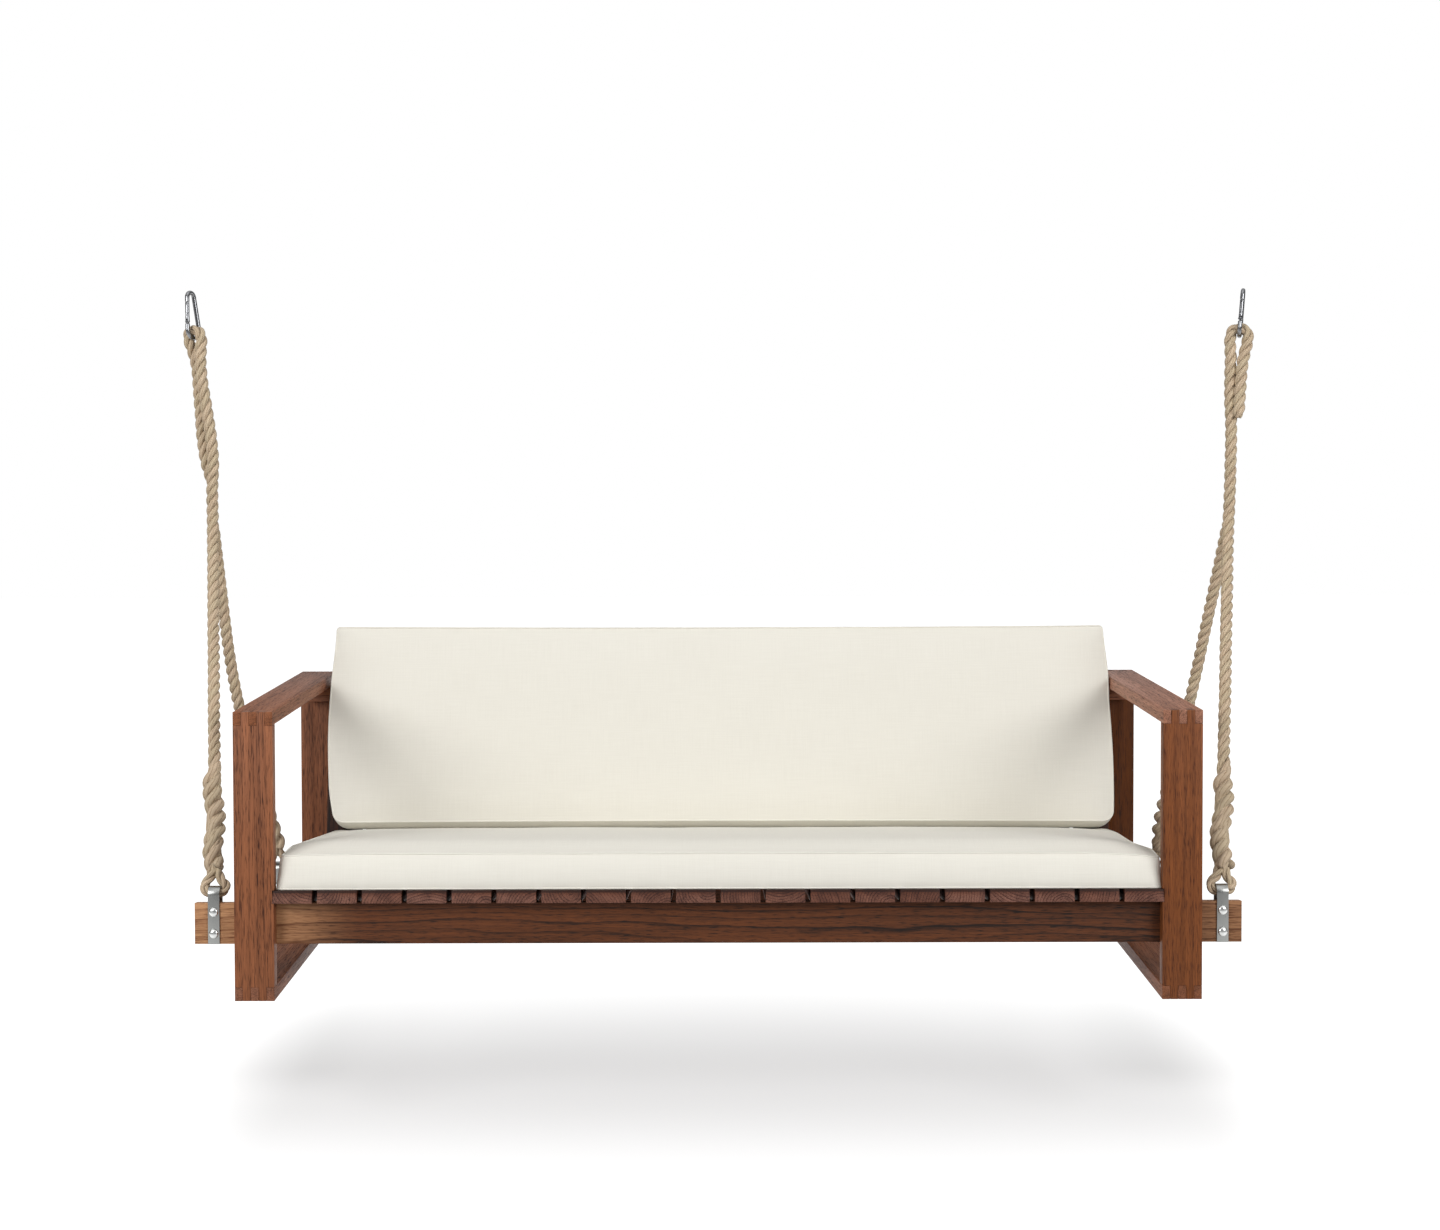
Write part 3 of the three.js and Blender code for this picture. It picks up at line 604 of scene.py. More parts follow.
def wood_grain_group():
    """Rings, pores, bands and fine streaks, laid over each other as one darkness."""
    group, start, end = new_group(
        "wood_grain",
        [("Grain", "NodeSocketVector", None), ("Tone", "NodeSocketFloat", 1.0),
         ("End Grain", "NodeSocketFloat", 0.0), ("Light", "NodeSocketColor", (1, 1, 1, 1)),
         ("Dark", "NodeSocketColor", (0, 0, 0, 1)), ("Ring Spacing", "NodeSocketFloat", 0.006),
         ("Ring Strength", "NodeSocketFloat", 0.5), ("Sway", "NodeSocketFloat", 0.026)],
        [("Color", "NodeSocketColor"), ("Roughness", "NodeSocketFloat"),
         ("Height", "NodeSocketFloat")])
    given = start.outputs
    grain = given["Grain"]
    sway = clouds(group, grain, (1.3, 9, 9), 3.0, "Color")
    swayed = node(group, "ShaderNodeVectorMath", {0: sway, "Scale": given["Sway"]},
                  operation="SCALE")
    swayed = node(group, "ShaderNodeVectorMath", {0: swayed.outputs[0], 1: grain},
                  operation="ADD").outputs[0]
    radius = node(group, "ShaderNodeVectorMath", {0: stretched(group, swayed, (0, 1, 1))},
                  operation="LENGTH").outputs["Value"]
    turns = math_node(group, "DIVIDE", radius, given["Ring Spacing"])
    year = math_node(group, "FLOOR", turns)
    ring = ramp(group, math_node(group, "FRACT", turns),
                [(0.0, 0.1), (0.86, 0.75), (0.62, 0.22), (0.93, 1.0), (1.0, 0.1)], "LINEAR")
    each_year = node(group, "ShaderNodeTexWhiteNoise", {"W": year},
                     noise_dimensions="1D").outputs["Value"]
    ring = math_node(group, "MULTIPLY", ring, math_node(group, "MULTIPLY_ADD", each_year, 0.7, 0.4))
    pore = ramp(group, clouds(group, grain, (38, 620, 620), 2.0), [(0.5, 0.0), (0.68, 1.0)])
    slow = ramp(group, clouds(group, grain, (1.1, 38, 38), 4.0), [(0.3, 0.0), (0.72, 1.0)])
    fine = math_node(group, "SUBTRACT", clouds(group, grain, (11, 320, 320), 3.0), 0.5)
    dark = weighted(group, (ring, given["Ring Strength"]), (slow, 0.4), (pore, 0.58), (fine, 0.95))
    dark.node.use_clamp = True
    color = mix_color(group, dark, given["Light"], given["Dark"])
    deeper = math_node(group, "MULTIPLY_ADD", given["Tone"], -0.35, 1.35)
    toned = node(group, "ShaderNodeHueSaturation",
                 {"Color": color, "Value": given["Tone"], "Saturation": deeper}).outputs["Color"]
    end_share = math_node(group, "MULTIPLY", given["End Grain"], END_GRAIN_SHARE)
    plug(group, end, {
        "Color": mix_color(group, end_share, toned, given["Dark"]),
        "Roughness": math_node(group, "MULTIPLY_ADD", dark, 0.14, 0.46),
        "Height": weighted(group, (pore, -1.0), (ring, -0.35))})
    return group


wood_grain = wood_grain_group()


def wood_material(name, light, dark, spacing, strength, sway=0.026):
    """A wood's material and its grain group node."""
    material, tree, shader = new_material(name)
    grain = node(tree, "ShaderNodeGroup", {
        "Grain": attribute(tree, "grain", "Vector"), "Tone": attribute(tree, "tone"),
        "End Grain": attribute(tree, "end_grain"), "Light": light, "Dark": dark,
        "Ring Spacing": spacing, "Ring Strength": strength, "Sway": sway}, node_tree=wood_grain)
    plug(tree, shader, {
        "Base Color": grain.outputs["Color"], "Roughness": grain.outputs["Roughness"],
        "Normal": relief(tree, grain.outputs["Height"], 0.35, 0.0004),
        "Specular IOR Level": 0.25})
    return material, grain


frame_wood, frame_grain = wood_material("frame_wood", srgb(162, 103, 71), srgb(64, 32, 19),
                                        0.009, 0.26)
slat_wood, slat_grain = wood_material("slat_wood", srgb(160, 109, 90), srgb(54, 28, 22),
                                      0.0058, 1.0)
# The beam's dark colours are partly its own wood and partly painted shade from the slats that
# overhang it.
beam_wood, beam_grain = wood_material("beam_wood", srgb(106, 59, 31), srgb(26, 11, 4),
                                      0.0078, 0.75, 0.05)


# %% [markdown]
# ## Darker feet, paler beam ends and painted shade
# The frames are darker toward their feet. The beams are paler toward their ends, partly from the
# wood's own colour and partly as painted light, where they come out of the slats' shade. The seat
# slats carry a painted shadow of the cushion along their upper front edges. At that edge the
# painted shadow goes by height alone, so it also lies on the back slats, which stand above it.

# %% Darker feet, paler ends and painted shade
SHADOW_STRIP_DEPTH = 0.0345
SHADOW_STRIP_SOFT = (0.003, 0.06)
CUSHION_SHADOW_SHARE = 0.88
EDGE_SHADOW = (0.0065, 0.005)
FOOT_DARK_RISE = (-0.95, -1.3)
FOOT_DARK_SHARE = 0.11
PALER_LIT_ENDS = ((-0.73, -0.98, 1.0), (0.9, 1.05, 0.6))


def darken(tree, grain, share):
    """Takes a share off a wood's tone."""
    tone = grain.inputs["Tone"].links[0].from_socket
    plug(tree, grain, {"Tone": math_node(tree, "MULTIPLY", tone,
                                         math_node(tree, "SUBTRACT", 1.0, share))})


def darker_toward_feet(material, grain):
    """Darker wood toward the foot of a frame."""
    tree = material.node_tree
    upward = split(tree, own_place(tree))["Z"]
    darken(tree, grain, fade(tree, upward, *FOOT_DARK_RISE, 0.0, FOOT_DARK_SHARE))


def painted_cushion_shadow(material, grain, front, top):
    """Painted shadow of the cushion: darker wood just behind a slat's front end,
    and everywhere above its upper front edge.
    """
    tree = material.node_tree
    start, end = front + 0.001, front + 0.001 + SHADOW_STRIP_DEPTH
    place = split(tree, own_place(tree))
    behind = math_node(tree, "MULTIPLY",
                       fade(tree, place["Y"], start, start + SHADOW_STRIP_SOFT[0], 0.0, CUSHION_SHADOW_SHARE),
                       fade(tree, place["Y"], end, end + SHADOW_STRIP_SOFT[1], 1.0, 0.0))
    edge = fade(tree, place["Z"], *(top - drop for drop in EDGE_SHADOW), 0.0, CUSHION_SHADOW_SHARE)
    darken(tree, grain, math_node(tree, "MAXIMUM", behind, edge))


def paler_lit_ends(material, grain, light, dark):
    """Paler wood toward a beam's two ends, each by its own amount: partly the wood's own colour and
    partly painted light, where the ends come out of the slats' shade.
    """
    tree = material.node_tree
    across = split(tree, own_place(tree))["X"]
    share = math_node(tree, "MAXIMUM", *(fade(tree, across, inner, outer, 0.0, most)
                                         for inner, outer, most in PALER_LIT_ENDS))
    for label, paler_lit in (("Light", light), ("Dark", dark)):
        plain = tuple(grain.inputs[label].default_value)
        plug(tree, grain, {label: mix_color(tree, share, plain, paler_lit)})


slat_low, slat_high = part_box("seat_slat_10")
darker_toward_feet(frame_wood, frame_grain)
# Painted shadow of the seat cushion on the slats' upper front edges, and painted shade on the back
# slats above.
painted_cushion_shadow(slat_wood, slat_grain, slat_low.y, slat_high.z)
# Paler beam ends: partly the wood's own colour, partly painted light outside the slats' shade.
paler_lit_ends(beam_wood, beam_grain, srgb(202, 151, 108), srgb(122, 76, 48))

# %% [markdown]
# ## Boards
# The CAD boards have the right outlines, fingers and housings. A copy of each is merged, its flat
# faces are joined up, and its edges are broken, as a sanded board's are. The small bevels also
# draw the lines where the fingers of two boards meet.

# %% Boards from the CAD outlines
AXES = {"x": 0, "y": 1, "z": 2}
EDGE_BREAK = 0.0009
EDGE_ANGLE = math.radians(30)
MERGE_DISTANCE = 2e-6


def merged_copy(node_name):
    """A bmesh of a CAD node with its doubles merged and its flat faces joined."""
    bm = bmesh.new()
    bm.from_mesh(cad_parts[node_name].data)
    bmesh.ops.remove_doubles(bm, verts=bm.verts, dist=MERGE_DISTANCE)
    bmesh.ops.dissolve_limit(bm, angle_limit=math.radians(1), verts=bm.verts, edges=bm.edges)
    return bm


def break_edges(bm, width=EDGE_BREAK):
    edges = [e for e in bm.edges if e.is_manifold and e.calc_face_angle(0) > EDGE_ANGLE]
    bmesh.ops.bevel(bm, geom=edges, offset=width, offset_type="OFFSET", segments=2,
                    profile=0.6, affect="EDGES", clamp_overlap=True)


def set_grain(mesh, along, shift, tone, end=1.0):
    """Grain coordinates, tone and end-grain mask on a board whose grain runs along an axis."""
    k = AXES[along]
    co = points_of(mesh)
    local = (co - (co.min(0) + co.max(0)) / 2)[:, [k, (k + 1) % 3, (k + 2) % 3]] + shift
    store(mesh, "grain", "FLOAT_VECTOR", "POINT", local)
    store(mesh, "tone", "FLOAT", "POINT", np.full(len(co), tone))
    store(mesh, "end_grain", "FLOAT", "FACE",
          [end * (abs(p.normal[k]) > 0.7) for p in mesh.polygons])


def place_in_log(seed):
    """Where a board was sawn from: how far along, and which way and how far the pith lies."""
    rng = random.Random(seed)
    angle = rng.uniform(0, 2 * math.pi)
    away = rng.uniform(0.05, 0.14)
    return np.array([rng.uniform(0, 9), away * math.cos(angle), away * math.sin(angle)])


def board(node_name, along, seed, material, slot, tone=1.0, end=1.0):
    bm = merged_copy(node_name)
    break_edges(bm)
    mesh = plain_mesh(bm, node_name + "_wood")
    set_grain(mesh, along, place_in_log(seed), tone, end)
    return shown(mesh, node_name + "_wood", material, "seat", slot, node_name)


# Each board's tone is partly its own colour and partly painted light and shade: the right front
# post and above all the right rear post are darkened for the shade they stand in, and the right
# armrest is lightened for the sheen on its top.
BOARDS = {
    "front_post_left": ("z", 0.99, 0.5), "rear_post_left": ("z", 1.04, 0.5),
    "armrest_left": ("y", 0.88, 0.25), "bottom_rail_left": ("y", 1.3, 0.8),
    "front_post_right": ("z", 0.73, 0.5), "rear_post_right": ("z", 0.41, 0.5),
    "armrest_right": ("y", 1.34, 0.25), "bottom_rail_right": ("y", 1.06, 0.8),
    "back_top_rail": ("x", 1.0, 1.0),
}
for seed, (node_name, (along, tone, end)) in enumerate(BOARDS.items()):
    board(node_name, along, seed, frame_wood, "frame_wood", tone, end)
for seed, node_name in enumerate(("front_beam", "rear_beam"), 40):
    board(node_name, "x", seed, beam_wood, "beam_wood")
print("boards", len(BOARDS) + 2)

# %% [markdown]
# ## Seat slats and back slats
# Twenty equal slats lie across the seat from front to back, and twenty more stand up the back on a
# batten. What repeats is made once: Geometry Nodes copies one sanded slat along a row and moves
# each copy to its own place in the log, so no two show the same figure. The slats are made square
# to their own frame, because that is how they are measured, and are then leaned into place.

# %% Leaning frames
SLAT_COUNT = 20
SLAT_WIDTH = 0.082
BACK_SLAT_THICK = 0.022
BATTEN_THICK = 0.024
BATTEN_HEIGHT = 0.042
BACK_LEAN = math.radians(11)


def corners_in(node_name, turn):
    """A CAD node's lowest and highest corners, measured in a turned frame."""
    local = points_of(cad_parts[node_name].data) @ np.array(turn.to_3x3())
    return Vector(local.min(0)), Vector(local.max(0))


slat_corners = np.unique(points_of(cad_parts["seat_slat_10"].data).round(5), axis=0)
slat_corners = slat_corners[np.argsort(slat_corners[:, 1])]
slat_run = slat_corners[4:].mean(0) - slat_corners[:4].mean(0)
SEAT_SLOPE = math.atan2(-slat_run[2], slat_run[1])
deck_turn = Matrix.Rotation(-SEAT_SLOPE, 4, "X")
back_turn = Matrix.Rotation(-BACK_LEAN, 4, "X")
print("seat slope", round(math.degrees(SEAT_SLOPE), 2), "degrees")


# %% The slat row, in Geometry Nodes
def geometry_tree(name, inputs):
    """A Geometry Nodes tree with named inputs, and its two end nodes."""
    tree = bpy.data.node_groups.new(name, "GeometryNodeTree")
    tree.interface.new_socket("Geometry", in_out="INPUT", socket_type="NodeSocketGeometry")
    for label, kind in inputs:
        tree.interface.new_socket(label, in_out="INPUT", socket_type=kind)
    tree.interface.new_socket("Geometry", in_out="OUTPUT", socket_type="NodeSocketGeometry")
    return tree, tree.nodes.new("NodeGroupInput"), tree.nodes.new("NodeGroupOutput")


def made_by_nodes(mesh, tree, values):
    """Runs a tree on a mesh and gives back the plain mesh that it makes."""
    obj = linked(mesh.name, mesh)
    modifier = obj.modifiers.new(tree.name, "NODES")
    modifier.node_group = tree
    for item in tree.interface.items_tree:
        if item.in_out == "INPUT" and item.name in values:
            modifier[item.identifier] = values[item.name]
    made = evaluated_mesh(obj, preserve_all_data_layers=True)
    obj.modifiers.remove(modifier)
    bpy.data.objects.remove(obj)
    return made


def copies_at(tree, points, piece):
    return node(tree, "GeometryNodeInstanceOnPoints",
                {"Points": points, "Instance": piece}).outputs[0]


def made_real(tree, copies):
    return node(tree, "GeometryNodeRealizeInstances", {"Geometry": copies}).outputs[0]


def painted(tree, geometry, material):
    return node(tree, "GeometryNodeSetMaterial",
                {"Geometry": geometry, "Material": material}).outputs[0]


def kept(tree, geometry, name, kind, domain, value):
    """Geometry with a value kept on it as a named attribute."""
    return node(tree, "GeometryNodeStoreNamedAttribute",
                {"Geometry": geometry, "Name": name, "Value": value},
                data_type=kind, domain=domain).outputs[0]


def named(tree, name, kind):
    return node(tree, "GeometryNodeInputNamedAttribute", {"Name": name},
                data_type=kind).outputs["Attribute"]


def random_value(tree, low, high, each, seed, turn):
    """A random number for each slat, from its number and a seed."""
    seeds = math_node(tree, "ADD", seed, float(turn))
    return node(tree, "FunctionNodeRandomValue", {2: low, 3: high, "ID": each, "Seed": seeds},
                data_type="FLOAT").outputs[1]


def slat_row_tree():
    """A row of copies of one slat, each with its own place in the log and its own tone."""
    tree, start, end = geometry_tree("slat_row", [
        ("Count", "NodeSocketInt"), ("Pitch", "NodeSocketFloat"), ("Seed", "NodeSocketInt"),
        ("Wood", "NodeSocketMaterial")])
    step = node(tree, "ShaderNodeCombineXYZ", {"X": start.outputs["Pitch"]})
    row = node(tree, "GeometryNodeMeshLine",
               {"Count": start.outputs["Count"], "Offset": step.outputs[0]}, mode="OFFSET")
    copies = copies_at(tree, row.outputs[0], start.outputs["Geometry"])
    number = node(tree, "GeometryNodeInputIndex").outputs[0]
    real = made_real(tree, kept(tree, copies, "slat", "INT", "INSTANCE", number))
    each, seed = named(tree, "slat", "INT"), start.outputs["Seed"]
    angle = random_value(tree, 0.0, 2 * math.pi, each, seed, 0)
    away = random_value(tree, 0.03, 0.11, each, seed, 1)
    shift = node(tree, "ShaderNodeCombineXYZ", {
        "X": random_value(tree, 0.0, 9.0, each, seed, 2),
        "Y": math_node(tree, "MULTIPLY", away, math_node(tree, "COSINE", angle)),
        "Z": math_node(tree, "MULTIPLY", away, math_node(tree, "SINE", angle))})
    moved = node(tree, "ShaderNodeVectorMath",
                 {0: named(tree, "grain", "FLOAT_VECTOR"), 1: shift.outputs[0]}, operation="ADD")
    grained = kept(tree, real, "grain", "FLOAT_VECTOR", "POINT", moved.outputs[0])
    toned = kept(tree, grained, "tone", "FLOAT", "POINT",
                 random_value(tree, 0.82, 1.16, each, seed, 3))
    plug(tree, end, {0: painted(tree, toned, start.outputs["Wood"])})
    return tree


slat_row = slat_row_tree()

# %% Make the slats
SLAT_EDGE_BREAK = 0.0013


def prism(outline, low_x, high_x):
    """A bmesh of a (y, z) outline drawn out along X."""
    bm = bmesh.new()
    near = [bm.verts.new((low_x, y, z)) for y, z in outline]
    far = [bm.verts.new((high_x, y, z)) for y, z in outline]
    bm.faces.new(near)
    bm.faces.new(far[::-1])
    for i in range(len(outline)):
        j = (i + 1) % len(outline)
        bm.faces.new((near[j], near[i], far[i], far[j]))
    bmesh.ops.recalc_face_normals(bm, faces=bm.faces)
    return bm


def row_of_slats(name, outline, along, low_x, high_x, turn, seed, *replaced):
    """A row of slats, made in its leaning frame and turned into place."""
    bm = prism(outline, low_x, low_x + SLAT_WIDTH)
    break_edges(bm, SLAT_EDGE_BREAK)
    slat = plain_mesh(bm, name)
    set_grain(slat, along, (0, 0, 0), 1.0)
    row = made_by_nodes(slat, slat_row, {
        "Count": SLAT_COUNT, "Pitch": (high_x - low_x - SLAT_WIDTH) / (SLAT_COUNT - 1),
        "Seed": seed, "Wood": slat_wood})
    row.transform(turn)
    return shown(row, name, slat_wood, "seat", "slat_wood", *replaced)


SEAT_SLATS = [f"seat_slat_{i:02d}" for i in range(1, SLAT_COUNT + 1)]
low, high = corners_in(SEAT_SLATS[0], deck_turn)
outline = [(low.y, low.z), (high.y, low.z), (high.y, high.z), (low.y, high.z)]
row_of_slats("seat_slats", outline, "y", low.x, -low.x, deck_turn, 11, *SEAT_SLATS)

low, high = corners_in("back_slat_panel", back_turn)
foot_rise = math.tan(BACK_LEAN - SEAT_SLOPE)
rear = low.y + BACK_SLAT_THICK
outline = [(low.y, low.z), (rear, low.z + BACK_SLAT_THICK * foot_rise), (rear, high.z),
           (low.y, high.z)]
row_of_slats("back_slats", outline, "z", low.x, high.x, back_turn, 23, "back_slat_panel")

batten_rise = (BACK_SLAT_THICK + BATTEN_THICK) * foot_rise
batten_top = low.z + BATTEN_HEIGHT + batten_rise
bm = prism([(rear, low.z + BACK_SLAT_THICK * foot_rise), (high.y, low.z + batten_rise),
            (high.y, batten_top), (rear, batten_top)], low.x, high.x)
break_edges(bm)
batten = plain_mesh(bm, "back_batten")
set_grain(batten, "x", place_in_log(77), 0.95)
batten.transform(back_turn)
shown(batten, "back_batten", slat_wood, "seat", "slat_wood")
print("slats", 2 * SLAT_COUNT)

# %% [markdown]
# ## Rope fibre
# The rope is a pale natural fibre. Each strand shows the slant of its yarns, so the pattern follows
# the strand's own UV map: U is metres along it and V is turns round it. A fine noise adds single
# fibres, and a slow one the places where the rope has been handled. The grooves between the yarns
# are darkened as painted shade, and the deep grooves between the strands darker still, from the
# mesh's groove attribute.

# %% Rope material
YARNS = 6.0
YARN_LAY = 0.034


def rope_material(name, pale, other, dark, deep):
    material, tree, shader = new_material(name)
    along = node(tree, "ShaderNodeUVMap", uv_map="along").outputs["UV"]
    x, y, _ = split(tree, along)
    turns = math_node(tree, "MULTIPLY_ADD", x, 1 / YARN_LAY,
                      math_node(tree, "MULTIPLY", y, YARNS))
    place = own_place(tree)
    fibre = clouds(tree, place, 900.0, 3.0)
    uneven = math_node(tree, "MULTIPLY_ADD", fibre, 0.5, turns)
    wave = math_node(tree, "SINE", math_node(tree, "MULTIPLY", uneven, math.pi))
    yarn = math_node(tree, "ABSOLUTE", wave)
    handled = clouds(tree, place, 26.0, 4.0)
    # Painted shade in the grooves between the yarns, added to the real dirt of the fibres and the
    # handled places.
    groove = ramp(tree, yarn, [(0.0, 1.0), (0.45, 0.0)])
    dirt_and_groove_shade = weighted(tree, (groove, 0.55), (fibre, 0.4), (handled, 0.5))
    tinted = mix_color(tree, attribute(tree, "strand"), pale, other)
    outer = mix_color(tree, fade(tree, dirt_and_groove_shade, 0.3, 1.2, kind="LINEAR"), tinted, dark)
    # Painted shade deep in the grooves between the strands, toward the last colour.
    shadow = math_node(tree, "MULTIPLY", attribute(tree, "groove"), 0.75)
    plug(tree, shader, {
        "Base Color": mix_color(tree, shadow, outer, deep),
        "Normal": relief(tree, weighted(tree, (yarn, 1.0), (fibre, 0.8)), 0.6, 0.0007),
        "Roughness": 0.92, "Specular IOR Level": 0.2, "Sheen Weight": 0.15})
    return material


# The last colour is the painted shade deep in the grooves between the strands.
rope_fibre = rope_material("rope_fibre", srgb(214, 193, 166), srgb(208, 191, 162),
                           srgb(140, 112, 84), srgb(72, 53, 38))
for piece in ropes:
    piece.data.materials.append(rope_fibre)
print("rope pieces", len(ropes))

# %% [markdown]
# ## Steel
# The straps over the beam ends are plain zinc-plated bar, brushed by handling, and the carabiners
# are bright wire. Both are bare metal, so the colour is the metal's own and the finish is all in
# the roughness: long fine scratches on the bar, and soft smudges on the wire.

# %% Steel materials
def steel_material(name, color, stretch, low, high, bump):
    """Bare metal whose roughness follows a drawn-out noise."""
    material, tree, shader = new_material(name)
    place = own_place(tree)
    marks = clouds(tree, place, stretch, 4.0)
    both = weighted(tree, (marks, 0.6), (clouds(tree, place, 90.0, 3.0), 0.4))
    plug(tree, shader, {
        "Base Color": mix_color(tree, both, (*[c * 0.8 for c in color], 1), (*color, 1)),
        "Roughness": fade(tree, both, 0.3, 0.7, low, high, kind="LINEAR"),
        "Normal": relief(tree, marks, bump, 0.0001), "Metallic": 1.0})
    return material


strap_steel = steel_material("brushed_zinc", (0.35, 0.355, 0.345), (1400, 1400, 30), 0.24, 0.38,
                             0.2)
bolt_steel = steel_material("bolt_zinc", (0.72, 0.73, 0.72), (300, 300, 300), 0.2, 0.32, 0.05)
wire_steel = steel_material("bright_wire", (0.26, 0.265, 0.275), (40, 40, 40), 0.12, 0.2, 0.0)

# %% [markdown]
# ## Rope straps and their bolts
# Each strap is one bar bent over a beam end in a half-round arch, which the rope's eye hangs on.
# Its side outline is drawn with a fine arc and then given its width. The eight bolts are alike: a
# turned head, a shank and a hexagon nut, made once and set at eight points by Geometry Nodes.

# %% Straps
ARCH_STEPS = 28
STRAP_EDGE_BREAK = 0.0006


def arc(radius, middle_z, start, end):
    """Points (y, z) along an arc, from one angle to another in degrees."""
    angles = np.radians(np.linspace(start, end, ARCH_STEPS + 1))
    return [(radius * math.cos(a), middle_z + radius * math.sin(a)) for a in angles]


def make_strap(node_name):
    """A bar bent over a beam end in a half-round arch."""
    low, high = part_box(node_name)
    outer = (high.y - low.y) / 2
    inner = outer - STRAP_THICK
    arch_z = high.z - outer
    outline = [(-outer, low.z), (-inner, low.z), *arc(inner, arch_z, 180, 0), (inner, low.z),
               (outer, low.z), *arc(outer, arch_z, 0, 180)]
    bm = prism(outline, low.x, high.x)
    bmesh.ops.translate(bm, verts=bm.verts, vec=(0, (low.y + high.y) / 2, 0))
    break_edges(bm, STRAP_EDGE_BREAK)
    shown(plain_mesh(bm, node_name + "_bar"), node_name + "_bar", strap_steel, "seat",
          "strap_steel", node_name)


STRAPS = [f"rope_strap_{end}_{side}" for end in ("front", "rear") for side in SIDES.values()]
for node_name in STRAPS:
    make_strap(node_name)

# %% Bolts
BOLTS = [f"strap_bolt_{end}_{side}_{level}" for end in ("front", "rear")
         for side in SIDES.values() for level in ("upper", "lower")]
HEAD_RADIUS = 0.010
HEAD_HEIGHT = 0.0055
SHANK_RADIUS = 0.004
NUT_RADIUS = 0.0075
NUT_HEIGHT = 0.0065
NUT_CHAMFER = 0.0009
SHANK_CHAMFER = 0.0006


def turned(profile, sides, start_angle=0.0):
    """A bmesh of an (r, y) profile turned about the Y axis, closed at both ends."""
    bm = bmesh.new()
    rings = []
    for radius, y in profile:
        rings.append([bm.verts.new((radius * math.cos(a + start_angle), y,
                                    radius * math.sin(a + start_angle)))
                      for a in np.arange(sides) * 2 * math.pi / sides])
    for ring, after in zip(rings, rings[1:]):
        for i in range(sides):
            j = (i + 1) % sides
            bm.faces.new((ring[i], ring[j], after[j], after[i]))
    bm.faces.new(rings[0])
    bm.faces.new(rings[-1])
    bmesh.ops.recalc_face_normals(bm, faces=bm.faces)
    return bm


def bolt_mesh(depth):
    """A bolt from its head at y = 0 to the end of its shank, a given depth behind."""
    dome = [(HEAD_RADIUS * math.sin(a), HEAD_HEIGHT * (1 - math.cos(a)))
            for a in np.radians((12, 28, 44, 58, 70, 80, 88))]
    shank = [(HEAD_RADIUS * 0.97, HEAD_HEIGHT + 0.0004), (SHANK_RADIUS, HEAD_HEIGHT + 0.0004),
             (SHANK_RADIUS, depth - SHANK_CHAMFER), (SHANK_RADIUS - SHANK_CHAMFER, depth)]
    bm = turned(dome + shank, 24)
    nut_y = depth - SHANK_RADIUS / 2 - NUT_HEIGHT
    flat = NUT_RADIUS - NUT_CHAMFER
    nut = turned([(flat, nut_y), (NUT_RADIUS, nut_y + NUT_CHAMFER / 2),
                  (NUT_RADIUS, nut_y + NUT_HEIGHT - NUT_CHAMFER / 2),
                  (flat, nut_y + NUT_HEIGHT)], 6)
    bm.from_mesh(plain_mesh(nut, "nut"))
    return plain_mesh(bm, "bolt")


def copies_tree():
    """Copies of a piece at every point of a mesh."""
    tree, start, end = geometry_tree("copies_at_points", [
        ("Piece", "NodeSocketObject"), ("Finish", "NodeSocketMaterial")])
    piece = node(tree, "GeometryNodeObjectInfo", {"Object": start.outputs["Piece"]})
    copies = copies_at(tree, start.outputs["Geometry"], piece.outputs["Geometry"])
    plug(tree, end, {0: painted(tree, made_real(tree, copies), start.outputs["Finish"])})
    return tree


low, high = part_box(BOLTS[0])
bolt = linked("bolt_pattern", bolt_mesh(high.y - low.y))
heads = []
for node_name in BOLTS:
    low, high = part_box(node_name)
    heads.append(((low.x + high.x) / 2, low.y, (low.z + high.z) / 2))
bolt_points = bpy.data.meshes.new("bolt_points")
bolt_points.from_pydata(heads, [], [])
bolts = made_by_nodes(bolt_points, copies_tree(), {"Piece": bolt, "Finish": bolt_steel})
bpy.data.objects.remove(bolt)
shown(bolts, "strap_bolts", bolt_steel, "seat", "strap_steel", *BOLTS)
print("bolts", len(heads), "faces", len(bolts.polygons))

# %% [markdown]
# ## Carabiners
# A carabiner is one length of bright wire, bent round a small bow above and a large bow below. A
# sprung gate closes the gap: its foot is slotted over a flat tongue on the wire and turns on a
# rivet, and its tip is slotted over a second tongue on the nose. Everything is made upright in the
# carabiner's own frame and then leaned and turned to hang from its hook.

# %% Carabiner shape
WIRE_RADIUS = 0.005
SMALL_BOW = (0.012, -0.007)
LARGE_BOW = (0.020, -0.078)
SIDE_TILT = math.asin((LARGE_BOW[0] - SMALL_BOW[0]) / (SMALL_BOW[1] - LARGE_BOW[1]))
NOSE_LENGTH = 0.0105
PIVOT_RISE = 0.016
GATE_RADIUS = 0.0047
TONGUE_THICK = 0.004
TONGUE_RADIUS = 0.0046
SLOT_CLEARANCE = 0.0004
SLOT_DEPTH = 0.0065
NOSE_TONGUE = (0.0022, 0.0056, 0.0050)
TONGUE_ROOT = 0.003
WIRE_SIDES = 24
WIRE_CHAMFER = 0.0008
END_SHARE = 0.84
TIP_SLOT_DEPTH = 0.0064
PIN_RADIUS = 0.0015
GRIP_GROOVES = (0.0120, 0.0150, 0.0180)
CARABINER_LEAN = math.radians(4.5)
CARABINER_TURN = {-1: math.radians(-25), 1: math.radians(-15)}


def on_bow(bow, angle):
    """A point of the wire's middle line on one of its bows."""
    radius, middle = bow
    return Vector((0, radius * math.cos(angle), middle + radius * math.sin(angle)))


